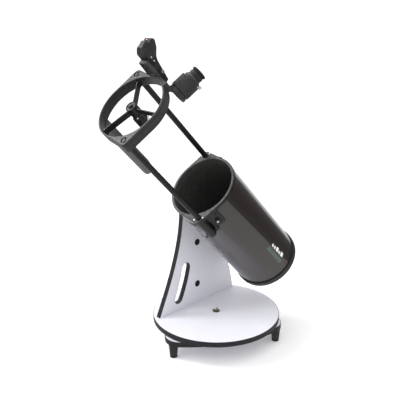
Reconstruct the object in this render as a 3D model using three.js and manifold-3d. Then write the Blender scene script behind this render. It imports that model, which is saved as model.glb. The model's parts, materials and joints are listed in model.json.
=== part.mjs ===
// A tabletop newtonian reflector with a collapsible tube on a one-armed turntable mount.
// Millimetres, +Z up. The tube points towards -Y, and the arm stands on the -X side of the tube.
// The origin is the middle of the model's bounding box, on the surface that its feet stand on.

import * as THREE from "three";
import { mergeVertices } from "three/addons/utils/BufferGeometryUtils.js";
import Module from "manifold-3d";

const wasm = await Module();
wasm.setup();

// ---------------------------------------------------------------- driving dimensions

const GAP = 0.3; // clearance between pieces that touch
const BOARD = 15; // thickness of the laminated boards
const EDGING = 1.2; // thickness of the edge banding

// Stand
const FOOT_HEIGHT = 41.4;
const FOOT_TOP_RADIUS = 13.5;
const FOOT_BOTTOM_RADIUS = 10.5;
const FOOT_CIRCLE = 176; // distance of the feet from the azimuth axis
const FIRST_LOBE = -88; // direction of the first foot, degrees
const LOBE_RADIUS = 45;
const LOBE_CIRCLE = 146;
const LOBE_SPREAD = 40; // each lobe's round corner covers this many degrees to each side
const DISC_RADIUS = 183.5;
const PAD_THICKNESS = 2.4;
const PAD_RADIUS = 11;
const PAD_CIRCLE = 118;
const BOLT_WASHER_RADIUS = 10.8;
const BOLT_HEAD_RADIUS = 7.6;

// Arm, in the plane x = ARM_FACE_X
const ARM_FACE_X = -81;
const ARM_FRONT_Y = -147.5;
const ARM_BACK_Y = 156;
const ARM_TOP_RADIUS = 53;
const ALTITUDE_AXIS_Z = 382.3;
const PLUG_Y = 3;
const PLUG_HEIGHTS = { arm_plug_upper: 267.8, arm_plug_lower: 135.3 };
const PLUG_RADIUS = 8.8;
const SLOT_WIDTH = 34;
const SLOT_TOP = [-43, 200];
const SLOT_BEND = [-51, 160]; // where the tangents at the slot's two ends meet
const SLOT_BOTTOM = [-73.5, 112];

// Tube, along its own z axis, with zero at the altitude axis
const TUBE_X = 47.9;
const ALTITUDE = 46.6; // elevation of the tube, degrees
const TUBE_RADIUS = 91.3;
const TUBE_WALL = 1.3;
const MOUTH_Z = 151;
const MOUTH_RADIUS = 85.8;
const BOTTOM_Z = -240.7;
const CELL_RADIUS = 94.8;
const CELL_RING_LENGTH = 18;
const MIRROR_RADIUS = 75;
const MIRROR_Z = -182; // edge of the primary's front surface
const MIRROR_THICKNESS = 20;
const FOCAL_LENGTH = 750;

// Struts and upper cage
const STRUT_RADIUS = 7.25;
const STRUT_CIRCLE = 99.5;
const STRUT_ANGLES = { lower: -60, upper: 120 };
const STRUT_BOTTOM_Z = 72;
const CORNER_RADIUS = 12;
const CORNER_CIRCLE = 102;
const CAGE_FRONT_Z = 484;
const CAGE_DEPTH = 27;
const CAGE_RADIUS = 89.3;
const CAGE_BORE = 84.3;
const FOCUS_Z = 419; // height of the focuser's axis
const FOCUS_ANGLE = 70;
const FINDER_ANGLE = 95;
const VANE_ANGLES = [0, 120, 240];

// Materials: [colour, roughness, metalness]
const FINISHES = {
  laminate: [0xeeedf6, 0.45, 0],
  edging: [0x1b1b1f, 0.6, 0],
  foot: [0x202024, 0.7, 0],
  black: [0x232325, 0.55, 0],
  moulding: [0x3a3a3e, 0.5, 0],
  tube: [0x1d1a1a, 0.25, 0.6],
  strut: [0x1c1b1a, 0.35, 0.5],
  steel: [0xc9c9cb, 0.25, 1],
  mirror: [0xdfe4ea, 0.05, 1],
  lens: [0x6b4a16, 0.1, 0.2],
  label: [0xd9e6dc, 0.5, 0],
  pad: [0xe6e6e0, 0.4, 0],
};

// ---------------------------------------------------------------- solids

const radians = THREE.MathUtils.degToRad;

function polar(radius, degrees) {
  return [radius * Math.cos(radians(degrees)), radius * Math.sin(radians(degrees))];
}

function solid(geometry) {
  const bare = geometry.clone();
  bare.deleteAttribute("normal");
  bare.deleteAttribute("uv");
  const merged = mergeVertices(bare, 1e-4);
  return new wasm.Manifold(
    new wasm.Mesh({
      numProp: 3,
      vertProperties: merged.attributes.position.array,
      triVerts: new Uint32Array(merged.index.array),
    }),
  );
}

function geometry(manifold) {
  const mesh = manifold.getMesh();
  const made = new THREE.BufferGeometry();
  made.setAttribute("position", new THREE.BufferAttribute(mesh.vertProperties, 3));
  made.setIndex(new THREE.BufferAttribute(mesh.triVerts, 1));
  return made;
}

function joined(first, ...others) {
  return geometry(others.reduce((sum, other) => sum.add(solid(other)), solid(first)));
}

function cut(body, ...tools) {
  return geometry(tools.reduce((rest, tool) => rest.subtract(solid(tool)), solid(body)));
}

function common(body, tool) {
  return geometry(solid(body).intersect(solid(tool)));
}

// A cylinder along z from one height to another.
function rod(radius, bottom, top, segments = 24, topRadius = radius) {
  return new THREE.CylinderGeometry(topRadius, radius, top - bottom, segments)
    .rotateX(Math.PI / 2)
    .translate(0, 0, (bottom + top) / 2);
}

// A ring or stepped round piece: [radius, height] corners of its closed section.
function turned(section, segments = 24) {
  const points = section.map(([radius, height]) => new THREE.Vector2(radius, height));
  const closed = section[0][0] === 0 ? points : [...points, points[0]];
  return new THREE.LatheGeometry(closed, segments).rotateX(Math.PI / 2);
}

function ring(inner, outer, bottom, top, segments = 48) {
  return turned([[inner, bottom], [outer, bottom], [outer, top], [inner, top]], segments);
}

// A box between two corners.
function block([x0, y0, z0], [x1, y1, z1]) {
  return new THREE.BoxGeometry(x1 - x0, y1 - y0, z1 - z0).translate(
    (x0 + x1) / 2,
    (y0 + y1) / 2,
    (z0 + z1) / 2,
  );
}

// A flat outline in x and y, raised along z.
function plate(shape, bottom, top, curveSegments = 12) {
  return new THREE.ExtrudeGeometry(shape, {
    depth: top - bottom,
    bevelEnabled: false,
    curveSegments,
  }).translate(0, 0, bottom);
}

// Turns a solid whose outline was drawn as (y, z) and raised along z, so that it is raised along x.
function sideways(flat) {
  return flat.applyMatrix4(
    new THREE.Matrix4().makeBasis(
      new THREE.Vector3(0, 1, 0),
      new THREE.Vector3(0, 0, 1),
      new THREE.Vector3(1, 0, 0),
    ),
  );
}

function polygon(points) {
  return new THREE.Shape(points.map(([x, y]) => new THREE.Vector2(x, y)));
}

// The points of an outline, each moved inwards by a distance. The outline runs anticlockwise.
function inset(points, distance, open = false) {
  const last = points.length - 1;
  return points.map((point, i) => {
    const before = points[open ? Math.max(i - 1, 0) : (i + last) % points.length];
    const after = points[open ? Math.min(i + 1, last) : (i + 1) % points.length];
    const along = after.clone().sub(before).normalize();
    return new THREE.Vector2(point.x - along.y * distance, point.y + along.x * distance);
  });
}

function distinct(points) {
  return points.filter((point, i) => i === 0 || point.distanceTo(points[i - 1]) > 1e-3);
}

// ---------------------------------------------------------------- the scene graph

const telescope = new THREE.Group();
const stand = new THREE.Group();
const tube = new THREE.Group();
telescope.add(stand, tube);

function part(parent, name, shape, finish) {
  const [color, roughness, metalness] = FINISHES[finish];
  const mesh = new THREE.Mesh(
    shape,
    new THREE.MeshStandardMaterial({ color, roughness, metalness }),
  );
  mesh.name = name;
  parent.add(mesh);
  return mesh;
}

// ---------------------------------------------------------------- stand

const GROUND_BOTTOM = FOOT_HEIGHT + GAP;
const GROUND_TOP = GROUND_BOTTOM + BOARD;
const PAD_BOTTOM = GROUND_TOP + GAP;
const DISC_BOTTOM = PAD_BOTTOM + PAD_THICKNESS + GAP;
const DISC_TOP = DISC_BOTTOM + BOARD;
const LOBES = [0, 1, 2].map((i) => FIRST_LOBE + 120 * i);

// The three-lobed outline of the ground board, with gently bulging sides between the lobes.
function groundPoints() {
  const outline = new THREE.Shape();
  const half = 60 - LOBE_SPREAD;
  const bulge =
    (LOBE_RADIUS + LOBE_CIRCLE * Math.cos(radians(LOBE_SPREAD))) / Math.cos(radians(half));
  for (const lobe of LOBES) {
    const [x, y] = polar(LOBE_CIRCLE, lobe);
    outline.absarc(x, y, LOBE_RADIUS, radians(lobe - LOBE_SPREAD), radians(lobe + LOBE_SPREAD));
    const [nextX, nextY] = polar(LOBE_CIRCLE, lobe + 120);
    const [startX, startY] = polar(LOBE_RADIUS, lobe + 120 - LOBE_SPREAD);
    outline.quadraticCurveTo(...polar(bulge, lobe + 60), nextX + startX, nextY + startY);
  }
  const points = distinct(outline.getPoints(7));
  return points[0].distanceTo(points.at(-1)) < 1e-3 ? points.slice(0, -1) : points;
}

function buildGround() {
  const bolt = rod(5.6, 0, DISC_TOP, 20);
  const rim = groundPoints();
  const board = plate(new THREE.Shape(inset(rim, EDGING + GAP)), GROUND_BOTTOM, GROUND_TOP);
  part(stand, "ground_board", cut(board, bolt), "laminate");
  const band = new THREE.Shape(rim);
  band.holes.push(new THREE.Path(inset(rim, EDGING)));
  part(stand, "ground_edging", plate(band, GROUND_BOTTOM, GROUND_TOP), "edging");
  LOBES.forEach((lobe, i) => {
    const foot = turned([
      [0, 0],
      [FOOT_BOTTOM_RADIUS - 1.5, 0],
      [FOOT_BOTTOM_RADIUS, 1.5],
      [FOOT_TOP_RADIUS, FOOT_HEIGHT - 5],
      [FOOT_TOP_RADIUS, FOOT_HEIGHT],
      [0, FOOT_HEIGHT],
    ], 20);
    part(stand, `foot_${i + 1}`, foot, "foot").position.set(...polar(FOOT_CIRCLE, lobe), 0);
    const pad = rod(PAD_RADIUS, PAD_BOTTOM, PAD_BOTTOM + PAD_THICKNESS, 16);
    part(stand, `azimuth_pad_${i + 1}`, pad, "pad").position.set(...polar(PAD_CIRCLE, lobe), 0);
  });
}

function buildPivot() {
  const headBottom = DISC_TOP + GAP;
  const shank = turned([
    [0, GROUND_BOTTOM - 9],
    [5, GROUND_BOTTOM - 9],
    [5, headBottom],
    [BOLT_WASHER_RADIUS, headBottom],
    [BOLT_WASHER_RADIUS, headBottom + 2],
    [0, headBottom + 2],
  ], 20);
  const head = rod(BOLT_HEAD_RADIUS, headBottom + 1, headBottom + 10, 6);
  part(stand, "azimuth_bolt", joined(shank, head), "steel");
  const nut = cut(rod(9, GROUND_BOTTOM - 8.3, GROUND_BOTTOM - GAP, 6), rod(5.3, 0, DISC_TOP, 20));
  part(stand, "azimuth_nut", nut, "steel");
}

function buildTurntable() {
  const bolt = rod(5.6, 0, DISC_TOP + 1, 20);
  const recesses = ARM_BOLT_YS.map((y) =>
    joined(rod(3.4, DISC_BOTTOM - 1, DISC_TOP + 1, 16), rod(7, DISC_BOTTOM - 1, DISC_BOTTOM + 6, 16))
      .translate(ARM_MIDDLE_X, y, 0),
  );
  const disc = rod(DISC_RADIUS - EDGING - GAP, DISC_BOTTOM, DISC_TOP, 72);
  part(stand, "turntable_disc", cut(disc, bolt, ...recesses), "laminate");
  const band = ring(DISC_RADIUS - EDGING, DISC_RADIUS, DISC_BOTTOM, DISC_TOP, 72);
  part(stand, "turntable_edging", band, "edging");
}

// ---------------------------------------------------------------- arm

const ARM_BOTTOM = DISC_TOP + GAP;
const ARM_OUTER_X = ARM_FACE_X - BOARD;
const ARM_MIDDLE_X = ARM_FACE_X - BOARD / 2;
const ARM_BOLT_YS = [-110, 115];

// The arm's edge in y and z, from its front foot over the top to its back foot.
function armEdge() {
  const edge = new THREE.Path();
  edge.moveTo(ARM_FRONT_Y, ARM_BOTTOM);
  edge.bezierCurveTo(
    ARM_FRONT_Y + 34,
    ARM_BOTTOM + 75,
    -ARM_TOP_RADIUS,
    ALTITUDE_AXIS_Z - 117,
    -ARM_TOP_RADIUS,
    ALTITUDE_AXIS_Z,
  );
  edge.absarc(0, ALTITUDE_AXIS_Z, ARM_TOP_RADIUS, Math.PI, 0, true);
  edge.bezierCurveTo(
    ARM_TOP_RADIUS,
    ALTITUDE_AXIS_Z - 90,
    ARM_BACK_Y - 20,
    ARM_BOTTOM + 150,
    ARM_BACK_Y,
    ARM_BOTTOM,
  );
  return distinct(edge.getPoints(12));
}

// The handle slot: a curved channel with round ends.
function slotPoints(inwards = 0) {
  const middle = new THREE.QuadraticBezierCurve(
    ...[SLOT_BOTTOM, SLOT_BEND, SLOT_TOP].map(([y, z]) => new THREE.Vector2(y, z)),
  );
  const half = SLOT_WIDTH / 2 - inwards;
  const sides = { right: [], left: [] };
  const steps = 7;
  for (let i = 0; i <= steps; i++) {
    const point = middle.getPoint(i / steps);
    const along = middle.getTangent(i / steps);
    sides.right.push(new THREE.Vector2(point.x + along.y * half, point.y - along.x * half));
    sides.left.push(new THREE.Vector2(point.x - along.y * half, point.y + along.x * half));
  }
  const cap = (at) => {
    const point = middle.getPoint(at);
    const along = middle.getTangent(at);
    const start = Math.atan2(along.y, along.x) - Math.PI / 2 + (at ? 0 : Math.PI);
    return [1, 2, 3, 4, 5].map((i) => {
      const angle = start + (i * Math.PI) / 6;
      return new THREE.Vector2(
        point.x + half * Math.cos(angle),
        point.y + half * Math.sin(angle),
      );
    });
  };
  return [...sides.right, ...cap(1), ...sides.left.reverse(), ...cap(0)];
}

function alongArm(shape, inner = ARM_FACE_X, outer = ARM_OUTER_X) {
  return sideways(plate(shape, outer, inner));
}

// A round piece along x, centred on a point of the arm.
function acrossArm(radius, from, to, y, z, segments = 16) {
  return rod(radius, from, to, segments).rotateY(Math.PI / 2).translate(0, y, z);
}

function buildArm() {
  const clockwise = armEdge();
  const edge = [...clockwise].reverse();
  const insideEdge = inset(edge, EDGING + GAP, true);
  insideEdge[0].y = ARM_BOTTOM;
  insideEdge.at(-1).y = ARM_BOTTOM;
  const tools = [alongArm(new THREE.Shape(slotPoints()), ARM_FACE_X + 1, ARM_OUTER_X - 1)];
  for (const z of Object.values(PLUG_HEIGHTS)) {
    tools.push(acrossArm(PLUG_RADIUS + GAP, ARM_OUTER_X - 1, ARM_FACE_X + 1, PLUG_Y, z));
  }
  tools.push(acrossArm(7, ARM_OUTER_X - 1, ARM_FACE_X + 1, 0, ALTITUDE_AXIS_Z));
  for (const y of ARM_BOLT_YS) {
    tools.push(rod(3.4, ARM_BOTTOM - 1, ARM_BOTTOM + 42, 16).translate(ARM_MIDDLE_X, y, 0));
  }
  part(stand, "arm_board", cut(alongArm(new THREE.Shape(insideEdge)), ...tools), "laminate");

  const bandInside = inset(edge, EDGING, true);
  bandInside[0].y = ARM_BOTTOM;
  bandInside.at(-1).y = ARM_BOTTOM;
  const band = new THREE.Shape([...edge, ...bandInside.reverse()]);
  part(stand, "arm_edging", alongArm(band), "edging");

  const lining = new THREE.Shape(slotPoints(GAP));
  lining.holes.push(new THREE.Path(slotPoints(GAP + EDGING)));
  part(stand, "slot_edging", alongArm(lining), "edging");

  for (const [name, z] of Object.entries(PLUG_HEIGHTS)) {
    const plug = joined(
      acrossArm(PLUG_RADIUS, ARM_OUTER_X + 1, ARM_FACE_X + 1, PLUG_Y, z),
      acrossArm(PLUG_RADIUS + 1, ARM_FACE_X + GAP, ARM_FACE_X + 1.5, PLUG_Y, z),
    );
    part(stand, name, plug, "foot");
  }
  ARM_BOLT_YS.forEach((y, i) => {
    const screw = turned(
      [
        [0, DISC_BOTTOM + 1],
        [6.4, DISC_BOTTOM + 1],
        [6.4, DISC_BOTTOM + 5.7],
        [3, DISC_BOTTOM + 5.7],
        [3, ARM_BOTTOM + 40],
        [0, ARM_BOTTOM + 40],
      ],
      16,
    );
    part(stand, `arm_bolt_${i + 1}`, screw, "steel").position.set(ARM_MIDDLE_X, y, 0);
  });
}

// ---------------------------------------------------------------- altitude bearing

// The bearing is built in the tube's frame, whose x axis is the altitude axis.
const FACE_X = ARM_FACE_X - TUBE_X; // the arm's inner face, from the tube's axis
const WASHER_OUTER_X = FACE_X + GAP;
const WASHER_INNER_X = WASHER_OUTER_X + 2.2;
const HUB_X = WASHER_INNER_X + GAP;
const HUB_THICKNESS = 8;
const SADDLE_FLOOR_X = HUB_X + HUB_THICKNESS + 6;
const BAR_X = SADDLE_FLOOR_X + GAP;
const BAR_THICKNESS = 11;
const BAR_LENGTH = 190;
const BAR_HALF_WIDTH = 21.5;
const DOVETAIL_SLOPE = 5;
const CLAMP_X = BAR_X + 4; // the clamp screw points at the thick part of the bar

function alongX(radius, from, to, segments = 24) {
  return rod(radius, from, to, segments).rotateY(Math.PI / 2);
}

// The dovetail's section in x and y, wider at its foot, run along the tube.
function dovetail(halfWidth, from, to, length) {
  const section = polygon([
    [from, -halfWidth],
    [to, -halfWidth + DOVETAIL_SLOPE],
    [to, halfWidth - DOVETAIL_SLOPE],
    [from, halfWidth],
  ]);
  return plate(section, -length / 2, length / 2);
}

function buildAltitudeBearing() {
  const washer = cut(
    alongX(36, WASHER_OUTER_X, WASHER_INNER_X, 28),
    alongX(6.5, FACE_X - 1, 0, 16),
  );
  part(tube, "altitude_washer", washer, "pad");

  const jawTop = BAR_X + BAR_THICKNESS - 3;
  const channel = dovetail(BAR_HALF_WIDTH + 2 * GAP, SADDLE_FLOOR_X, BAR_X + BAR_THICKNESS, 100);
  const saddle = cut(block([HUB_X + 4, -34, -40], [jawTop, 34, 40]), channel);
  const clampHole = rod(3.6, 20, 40, 16).rotateX(-Math.PI / 2).translate(CLAMP_X, 0, 0);
  const hub = joined(
    alongX(38, HUB_X, HUB_X + HUB_THICKNESS, 28),
    alongX(6, FACE_X - BOARD - 22, HUB_X + 1, 16),
    cut(saddle, clampHole),
  );
  part(tube, "altitude_saddle", hub, "black");

  const knob = cut(
    joined(
      alongX(17, FACE_X - BOARD - 24, FACE_X - BOARD - 8, 10),
      alongX(11, FACE_X - BOARD - 9, FACE_X - BOARD - GAP, 24),
    ),
    alongX(6.3, FACE_X - BOARD - 22.5, FACE_X, 16),
  );
  part(tube, "altitude_knob", knob, "black");

  const clamp = joined(
    rod(3.2, 22.4, 40, 16),
    rod(5, 34.4, 41, 16),
    rod(10, 40, 54, 10),
  );
  part(tube, "saddle_clamp_knob", clamp.rotateX(-Math.PI / 2).translate(CLAMP_X, 0, 0), "black");

  // The bar's shoes are hollowed to the tube's wall.
  const shoes = [-1, 1].map((side) => {
    const middle = (side * (BAR_LENGTH - 34)) / 2;
    return block([BAR_X + 6, -14, middle - 14], [-80, 14, middle + 14]);
  });
  const bar = cut(
    joined(dovetail(BAR_HALF_WIDTH, BAR_X, BAR_X + BAR_THICKNESS, BAR_LENGTH), ...shoes),
    rod(TUBE_RADIUS + GAP, -BAR_LENGTH, BAR_LENGTH, 64),
  );
  part(tube, "dovetail_bar", bar, "black");
}

// ---------------------------------------------------------------- lower tube

// The outline of the cage and of the mouth flange: a circle drawn out to two opposite corners,
// each of which holds a strut.
function corneredOutline(radius, cornerRadius = CORNER_RADIUS) {
  const lean = THREE.MathUtils.radToDeg(Math.acos((radius - cornerRadius) / CORNER_CIRCLE));
  const points = [];
  const arc = (centre, arcRadius, from, to, steps) => {
    for (let i = 0; i <= steps; i++) {
      const [x, y] = polar(arcRadius, from + ((to - from) * i) / steps);
      points.push([centre[0] + x, centre[1] + y]);
    }
  };
  for (const corner of Object.values(STRUT_ANGLES)) {
    arc(polar(CORNER_CIRCLE, corner), cornerRadius, corner - lean, corner + lean, 5);
    arc([0, 0], radius, corner + lean, corner + 180 - lean, 16);
  }
  return polygon(points);
}

function strutBores(radius, bottom, top) {
  return Object.values(STRUT_ANGLES).map((angle) =>
    rod(radius, bottom, top, 16).translate(...polar(STRUT_CIRCLE, angle), 0),
  );
}

// A part of a ring between two directions.
function sector(inner, outer, from, to, bottom, top) {
  const shape = new THREE.Shape();
  shape.absarc(0, 0, outer, radians(from), radians(to), false);
  shape.absarc(0, 0, inner, radians(to), radians(from), true);
  return plate(shape, bottom, top, 8);
}

// Each strut has a clamp knob beside it, on the side towards the +X side of the tube.
const LOCKS = { lower: STRUT_ANGLES.lower + 20, upper: STRUT_ANGLES.upper - 20 };
const LOCK_Z = 112;
const FLANGE_DEPTH = 10;
const GUIDE_LENGTH = 76;
const TUBE_TOP_Z = MOUTH_Z - FLANGE_DEPTH - GAP;

function buildFlange() {
  const body = plate(corneredOutline(TUBE_RADIUS + 1.2), MOUTH_Z - FLANGE_DEPTH, MOUTH_Z);
  const guides = Object.values(STRUT_ANGLES).map((angle) => {
    const foot = sector(TUBE_RADIUS - 4, TUBE_RADIUS + 6, angle - 13, angle + 13, 0, GUIDE_LENGTH);
    const boss = rod(CORNER_RADIUS, 0, GUIDE_LENGTH, 16);
    boss.translate(...polar(CORNER_CIRCLE, angle), 0);
    return joined(foot, boss).translate(0, 0, MOUTH_Z - GUIDE_LENGTH);
  });
  const pads = Object.values(LOCKS).map((angle) =>
    sector(TUBE_RADIUS - 4, TUBE_RADIUS + 4.5, angle - 10, angle + 10, LOCK_Z - 18, MOUTH_Z - 1),
  );
  const lip = ring(MOUTH_RADIUS, TUBE_RADIUS - TUBE_WALL - GAP, MOUTH_Z - 24, MOUTH_Z - 1);
  const wallSlot = ring(TUBE_RADIUS - TUBE_WALL - GAP, TUBE_RADIUS + GAP, 0, TUBE_TOP_Z + GAP);
  const lockHoles = Object.values(LOCKS).map((angle) => radial(rod(3, 90, 98, 12), angle, LOCK_Z));
  const shell = cut(
    joined(body, ...guides, ...pads),
    wallSlot,
    rod(TUBE_RADIUS - TUBE_WALL, 0, MOUTH_Z - FLANGE_DEPTH, 48),
    rod(MOUTH_RADIUS, 0, MOUTH_Z + 1, 48),
    ...strutBores(STRUT_RADIUS + GAP, 0, MOUTH_Z + 1),
    ...lockHoles,
  );
  part(tube, "mouth_flange", joined(shell, lip), "black");
}

// Turns a piece that was built along z so that it points away from the tube's axis.
function radial(piece, angle, z) {
  return piece.rotateY(Math.PI / 2).rotateZ(radians(angle)).translate(0, 0, z);
}

function buildLocks() {
  for (const [name, angle] of Object.entries(LOCKS)) {
    const pad = TUBE_RADIUS + 4.5;
    const knob = joined(
      rod(2.7, TUBE_RADIUS + 0.6, pad + 2, 16),
      rod(6.5, pad + GAP, pad + 6, 12),
      rod(3, pad + 5, pad + 7.2, 12),
    );
    part(tube, `strut_lock_${name}`, radial(knob, angle, LOCK_Z), "foot");
  }
}

function buildLowerTube() {
  const bottom = BOTTOM_Z + 3 + GAP;
  const wall = ring(TUBE_RADIUS - TUBE_WALL, TUBE_RADIUS, bottom, TUBE_TOP_Z, 64);
  part(tube, "lower_tube", wall, "tube");
  const label = sector(TUBE_RADIUS + GAP, TUBE_RADIUS + 0.9, -12, 6, -190, -101);
  part(tube, "tube_label", label, "label");
}

// ---------------------------------------------------------------- primary mirror and its cell

const CELL_PLATE_Z = BOTTOM_Z + 10;
const CELL_PLATE = 4;
const CARRIER_Z = MIRROR_Z - MIRROR_THICKNESS - 9;
const SCREW_CIRCLE = 60;
const SCREW_ANGLES = [90, 210, 330];

function buildCell() {
  const inner = TUBE_RADIUS - TUBE_WALL - GAP;
  const rim = turned(
    [
      [inner - 3.5, BOTTOM_Z],
      [CELL_RADIUS, BOTTOM_Z],
      [CELL_RADIUS, BOTTOM_Z + CELL_RING_LENGTH],
      [TUBE_RADIUS + GAP, BOTTOM_Z + CELL_RING_LENGTH],
      [TUBE_RADIUS + GAP, BOTTOM_Z + 3],
      [inner, BOTTOM_Z + 3],
      [inner, CELL_PLATE_Z + CELL_PLATE],
      [inner - 3.5, CELL_PLATE_Z + CELL_PLATE],
    ],
    48,
  );
  const web = rod(inner - 2, CELL_PLATE_Z, CELL_PLATE_Z + CELL_PLATE, 32);
  const holes = SCREW_ANGLES.map((angle) =>
    rod(3, CELL_PLATE_Z - 1, CELL_PLATE_Z + 9, 12).translate(...polar(SCREW_CIRCLE, angle), 0),
  );
  const vents = SCREW_ANGLES.map((angle) =>
    rod(15, CELL_PLATE_Z - 1, CELL_PLATE_Z + 9, 16).translate(...polar(50, angle + 60), 0),
  );
  part(tube, "mirror_cell", joined(rim, cut(web, ...holes, ...vents)), "moulding");

  const lugs = SCREW_ANGLES.map((angle) =>
    block([MIRROR_RADIUS + GAP, -8, 0], [MIRROR_RADIUS + 5, 8, MIRROR_Z + 4 - CARRIER_Z])
      .rotateZ(radians(angle + 60))
      .translate(0, 0, CARRIER_Z),
  );
  const threads = SCREW_ANGLES.map((angle) =>
    rod(2.8, CARRIER_Z - 1, CARRIER_Z + 7, 12).translate(...polar(SCREW_CIRCLE, angle), 0),
  );
  const disc = rod(MIRROR_RADIUS + 5, CARRIER_Z, CARRIER_Z + 8.7, 36);
  part(tube, "mirror_carrier", joined(cut(disc, ...threads), ...lugs), "black");

  SCREW_ANGLES.forEach((angle, i) => {
    const screw = joined(
      rod(2.5, BOTTOM_Z + 8, CARRIER_Z + 6, 12),
      rod(8, BOTTOM_Z + 1, CELL_PLATE_Z - GAP, 12),
    );
    part(tube, `collimation_knob_${i + 1}`, screw, "foot").position.set(
      ...polar(SCREW_CIRCLE, angle),
      0,
    );
    part(tube, `collimation_spring_${i + 1}`, coil(), "steel").position.set(
      ...polar(SCREW_CIRCLE, angle),
      0,
    );
  });
}

// A compression spring between the cell's plate and the mirror's carrier.
function coil() {
  const wire = 0.8;
  const turns = 3;
  const stepsPerTurn = 8;
  const bottom = CELL_PLATE_Z + CELL_PLATE + wire + GAP;
  const top = CARRIER_Z - wire - GAP;
  const points = [];
  for (let i = 0; i <= turns * stepsPerTurn; i++) {
    const share = i / (turns * stepsPerTurn);
    points.push(new THREE.Vector3(...polar(5, 360 * turns * share), bottom + (top - bottom) * share));
  }
  const section = new THREE.Shape();
  section.absarc(0, 0, wire, 0, 2 * Math.PI);
  return new THREE.ExtrudeGeometry(section, {
    extrudePath: new THREE.CatmullRomCurve3(points),
    steps: turns * stepsPerTurn,
    curveSegments: 4,
    bevelEnabled: false,
  });
}

function buildPrimary() {
  const section = [[0, MIRROR_Z - MIRROR_THICKNESS]];
  section.push([MIRROR_RADIUS, MIRROR_Z - MIRROR_THICKNESS], [MIRROR_RADIUS, MIRROR_Z]);
  const rings = 3;
  for (let i = rings - 1; i >= 0; i--) {
    const radius = (MIRROR_RADIUS * i) / rings;
    const depth = (MIRROR_RADIUS ** 2 - radius ** 2) / (4 * FOCAL_LENGTH);
    section.push([radius, MIRROR_Z - depth]);
  }
  part(tube, "primary_mirror", turned(section, 36), "mirror");
}

// ---------------------------------------------------------------- struts and upper cage

const CAGE_BACK_Z = CAGE_FRONT_Z - CAGE_DEPTH;
const STRUT_TOP_Z = CAGE_FRONT_Z - 6;
const SHIELD_ANGLE = FOCUS_ANGLE + 180;
const SHIELD_END_Z = 322;
const SHIELD_RADIUS = CAGE_BORE - GAP;

function buildStruts() {
  for (const [name, angle] of Object.entries(STRUT_ANGLES)) {
    const strut = rod(STRUT_RADIUS, STRUT_BOTTOM_Z, STRUT_TOP_Z, 16);
    part(tube, `strut_${name}`, strut.translate(...polar(STRUT_CIRCLE, angle), 0), "strut");
  }
}

function buildCageRing() {
  const body = cut(
    plate(corneredOutline(CAGE_RADIUS), CAGE_BACK_Z, CAGE_FRONT_Z),
    rod(CAGE_BORE, CAGE_BACK_Z - 1, CAGE_FRONT_Z + 1, 48),
    ...strutBores(STRUT_RADIUS + GAP, CAGE_BACK_Z - 1, STRUT_TOP_Z + GAP),
  );
  part(tube, "cage_ring", body, "moulding");
}

// A curved tongue opposite the focuser, with a round end.
function buildLightShield() {
  const spread = 47;
  const half = SHIELD_RADIUS * Math.sin(radians(spread));
  const endLength = 69;
  const top = CAGE_BACK_Z + 4;
  const tongue = new THREE.Shape();
  tongue.moveTo(half, top);
  tongue.lineTo(-half, top);
  tongue.lineTo(-half, SHIELD_END_Z + endLength);
  tongue.absellipse(0, SHIELD_END_Z + endLength, half, endLength, Math.PI, 2 * Math.PI, false);
  // The outline stands in the x z plane; its material reaches out along the shield's direction.
  const cutter = plate(tongue, 0, 100, 10)
    .rotateX(Math.PI / 2)
    .rotateZ(radians(SHIELD_ANGLE + 90));
  const wall = ring(SHIELD_RADIUS - 1.8, SHIELD_RADIUS, SHIELD_END_Z - 5, top, 64);
  part(tube, "light_shield", common(wall, cutter), "moulding");
}

const HUB_RADIUS = 13.8;
const HUB_BACK_Z = CAGE_BACK_Z + 1;

function buildSpider() {
  const vanes = VANE_ANGLES.map((angle) =>
    block([4, -1.5, CAGE_BACK_Z + 5], [CAGE_BORE - GAP, 1.5, CAGE_BACK_Z + 21]).rotateZ(radians(angle)),
  );
  const hub = rod(HUB_RADIUS, HUB_BACK_Z, CAGE_FRONT_Z, 24);
  const bolt = rod(3, HUB_BACK_Z - 1, CAGE_FRONT_Z + 1, 16);
  part(tube, "spider", cut(joined(hub, ...vanes), bolt), "black");
  const screw = joined(
    rod(2.7, HUB_BACK_Z - 8, CAGE_FRONT_Z + 1, 16),
    rod(5, CAGE_FRONT_Z + GAP, CAGE_FRONT_Z + 3, 16),
  );
  part(tube, "secondary_bolt", screw, "steel");
}

const SECONDARY_THICKNESS = 6;
const HOLDER_RADIUS = 16.5;
const SECONDARY_RADIUS = 19;

// Everything on the far side of the mirror's plane, moved back from its face along its normal.
function behindMirror(back, thickness) {
  return block([-60, -60, 0], [60, 60, thickness])
    .translate(0, 0, back)
    .rotateY(-Math.PI / 4)
    .rotateZ(radians(FOCUS_ANGLE))
    .translate(0, 0, FOCUS_Z);
}

function buildSecondary() {
  const slab = behindMirror(0, SECONDARY_THICKNESS);
  const glass = common(rod(SECONDARY_RADIUS, FOCUS_Z - 60, FOCUS_Z + 60, 32), slab);
  part(tube, "secondary_mirror", glass, "mirror");
  const top = HUB_BACK_Z - GAP;
  const holder = common(
    turned(
      [
        [0, FOCUS_Z - 40],
        [HOLDER_RADIUS, FOCUS_Z - 40],
        [HOLDER_RADIUS, top - 8],
        [9, top],
        [0, top],
      ],
      24,
    ),
    behindMirror(SECONDARY_THICKNESS + GAP, 90),
  );
  const thread = rod(3, top - 9, top + 1, 16);
  part(tube, "secondary_holder", cut(holder, thread), "black");
}

// ---------------------------------------------------------------- focuser

// The focuser's frame has z along its axis, away from the tube, and y along the tube.
const focuser = new THREE.Group();
focuser.rotation.setFromRotationMatrix(radialBasis(FOCUS_ANGLE));
focuser.position.z = FOCUS_Z;
tube.add(focuser);

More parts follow.
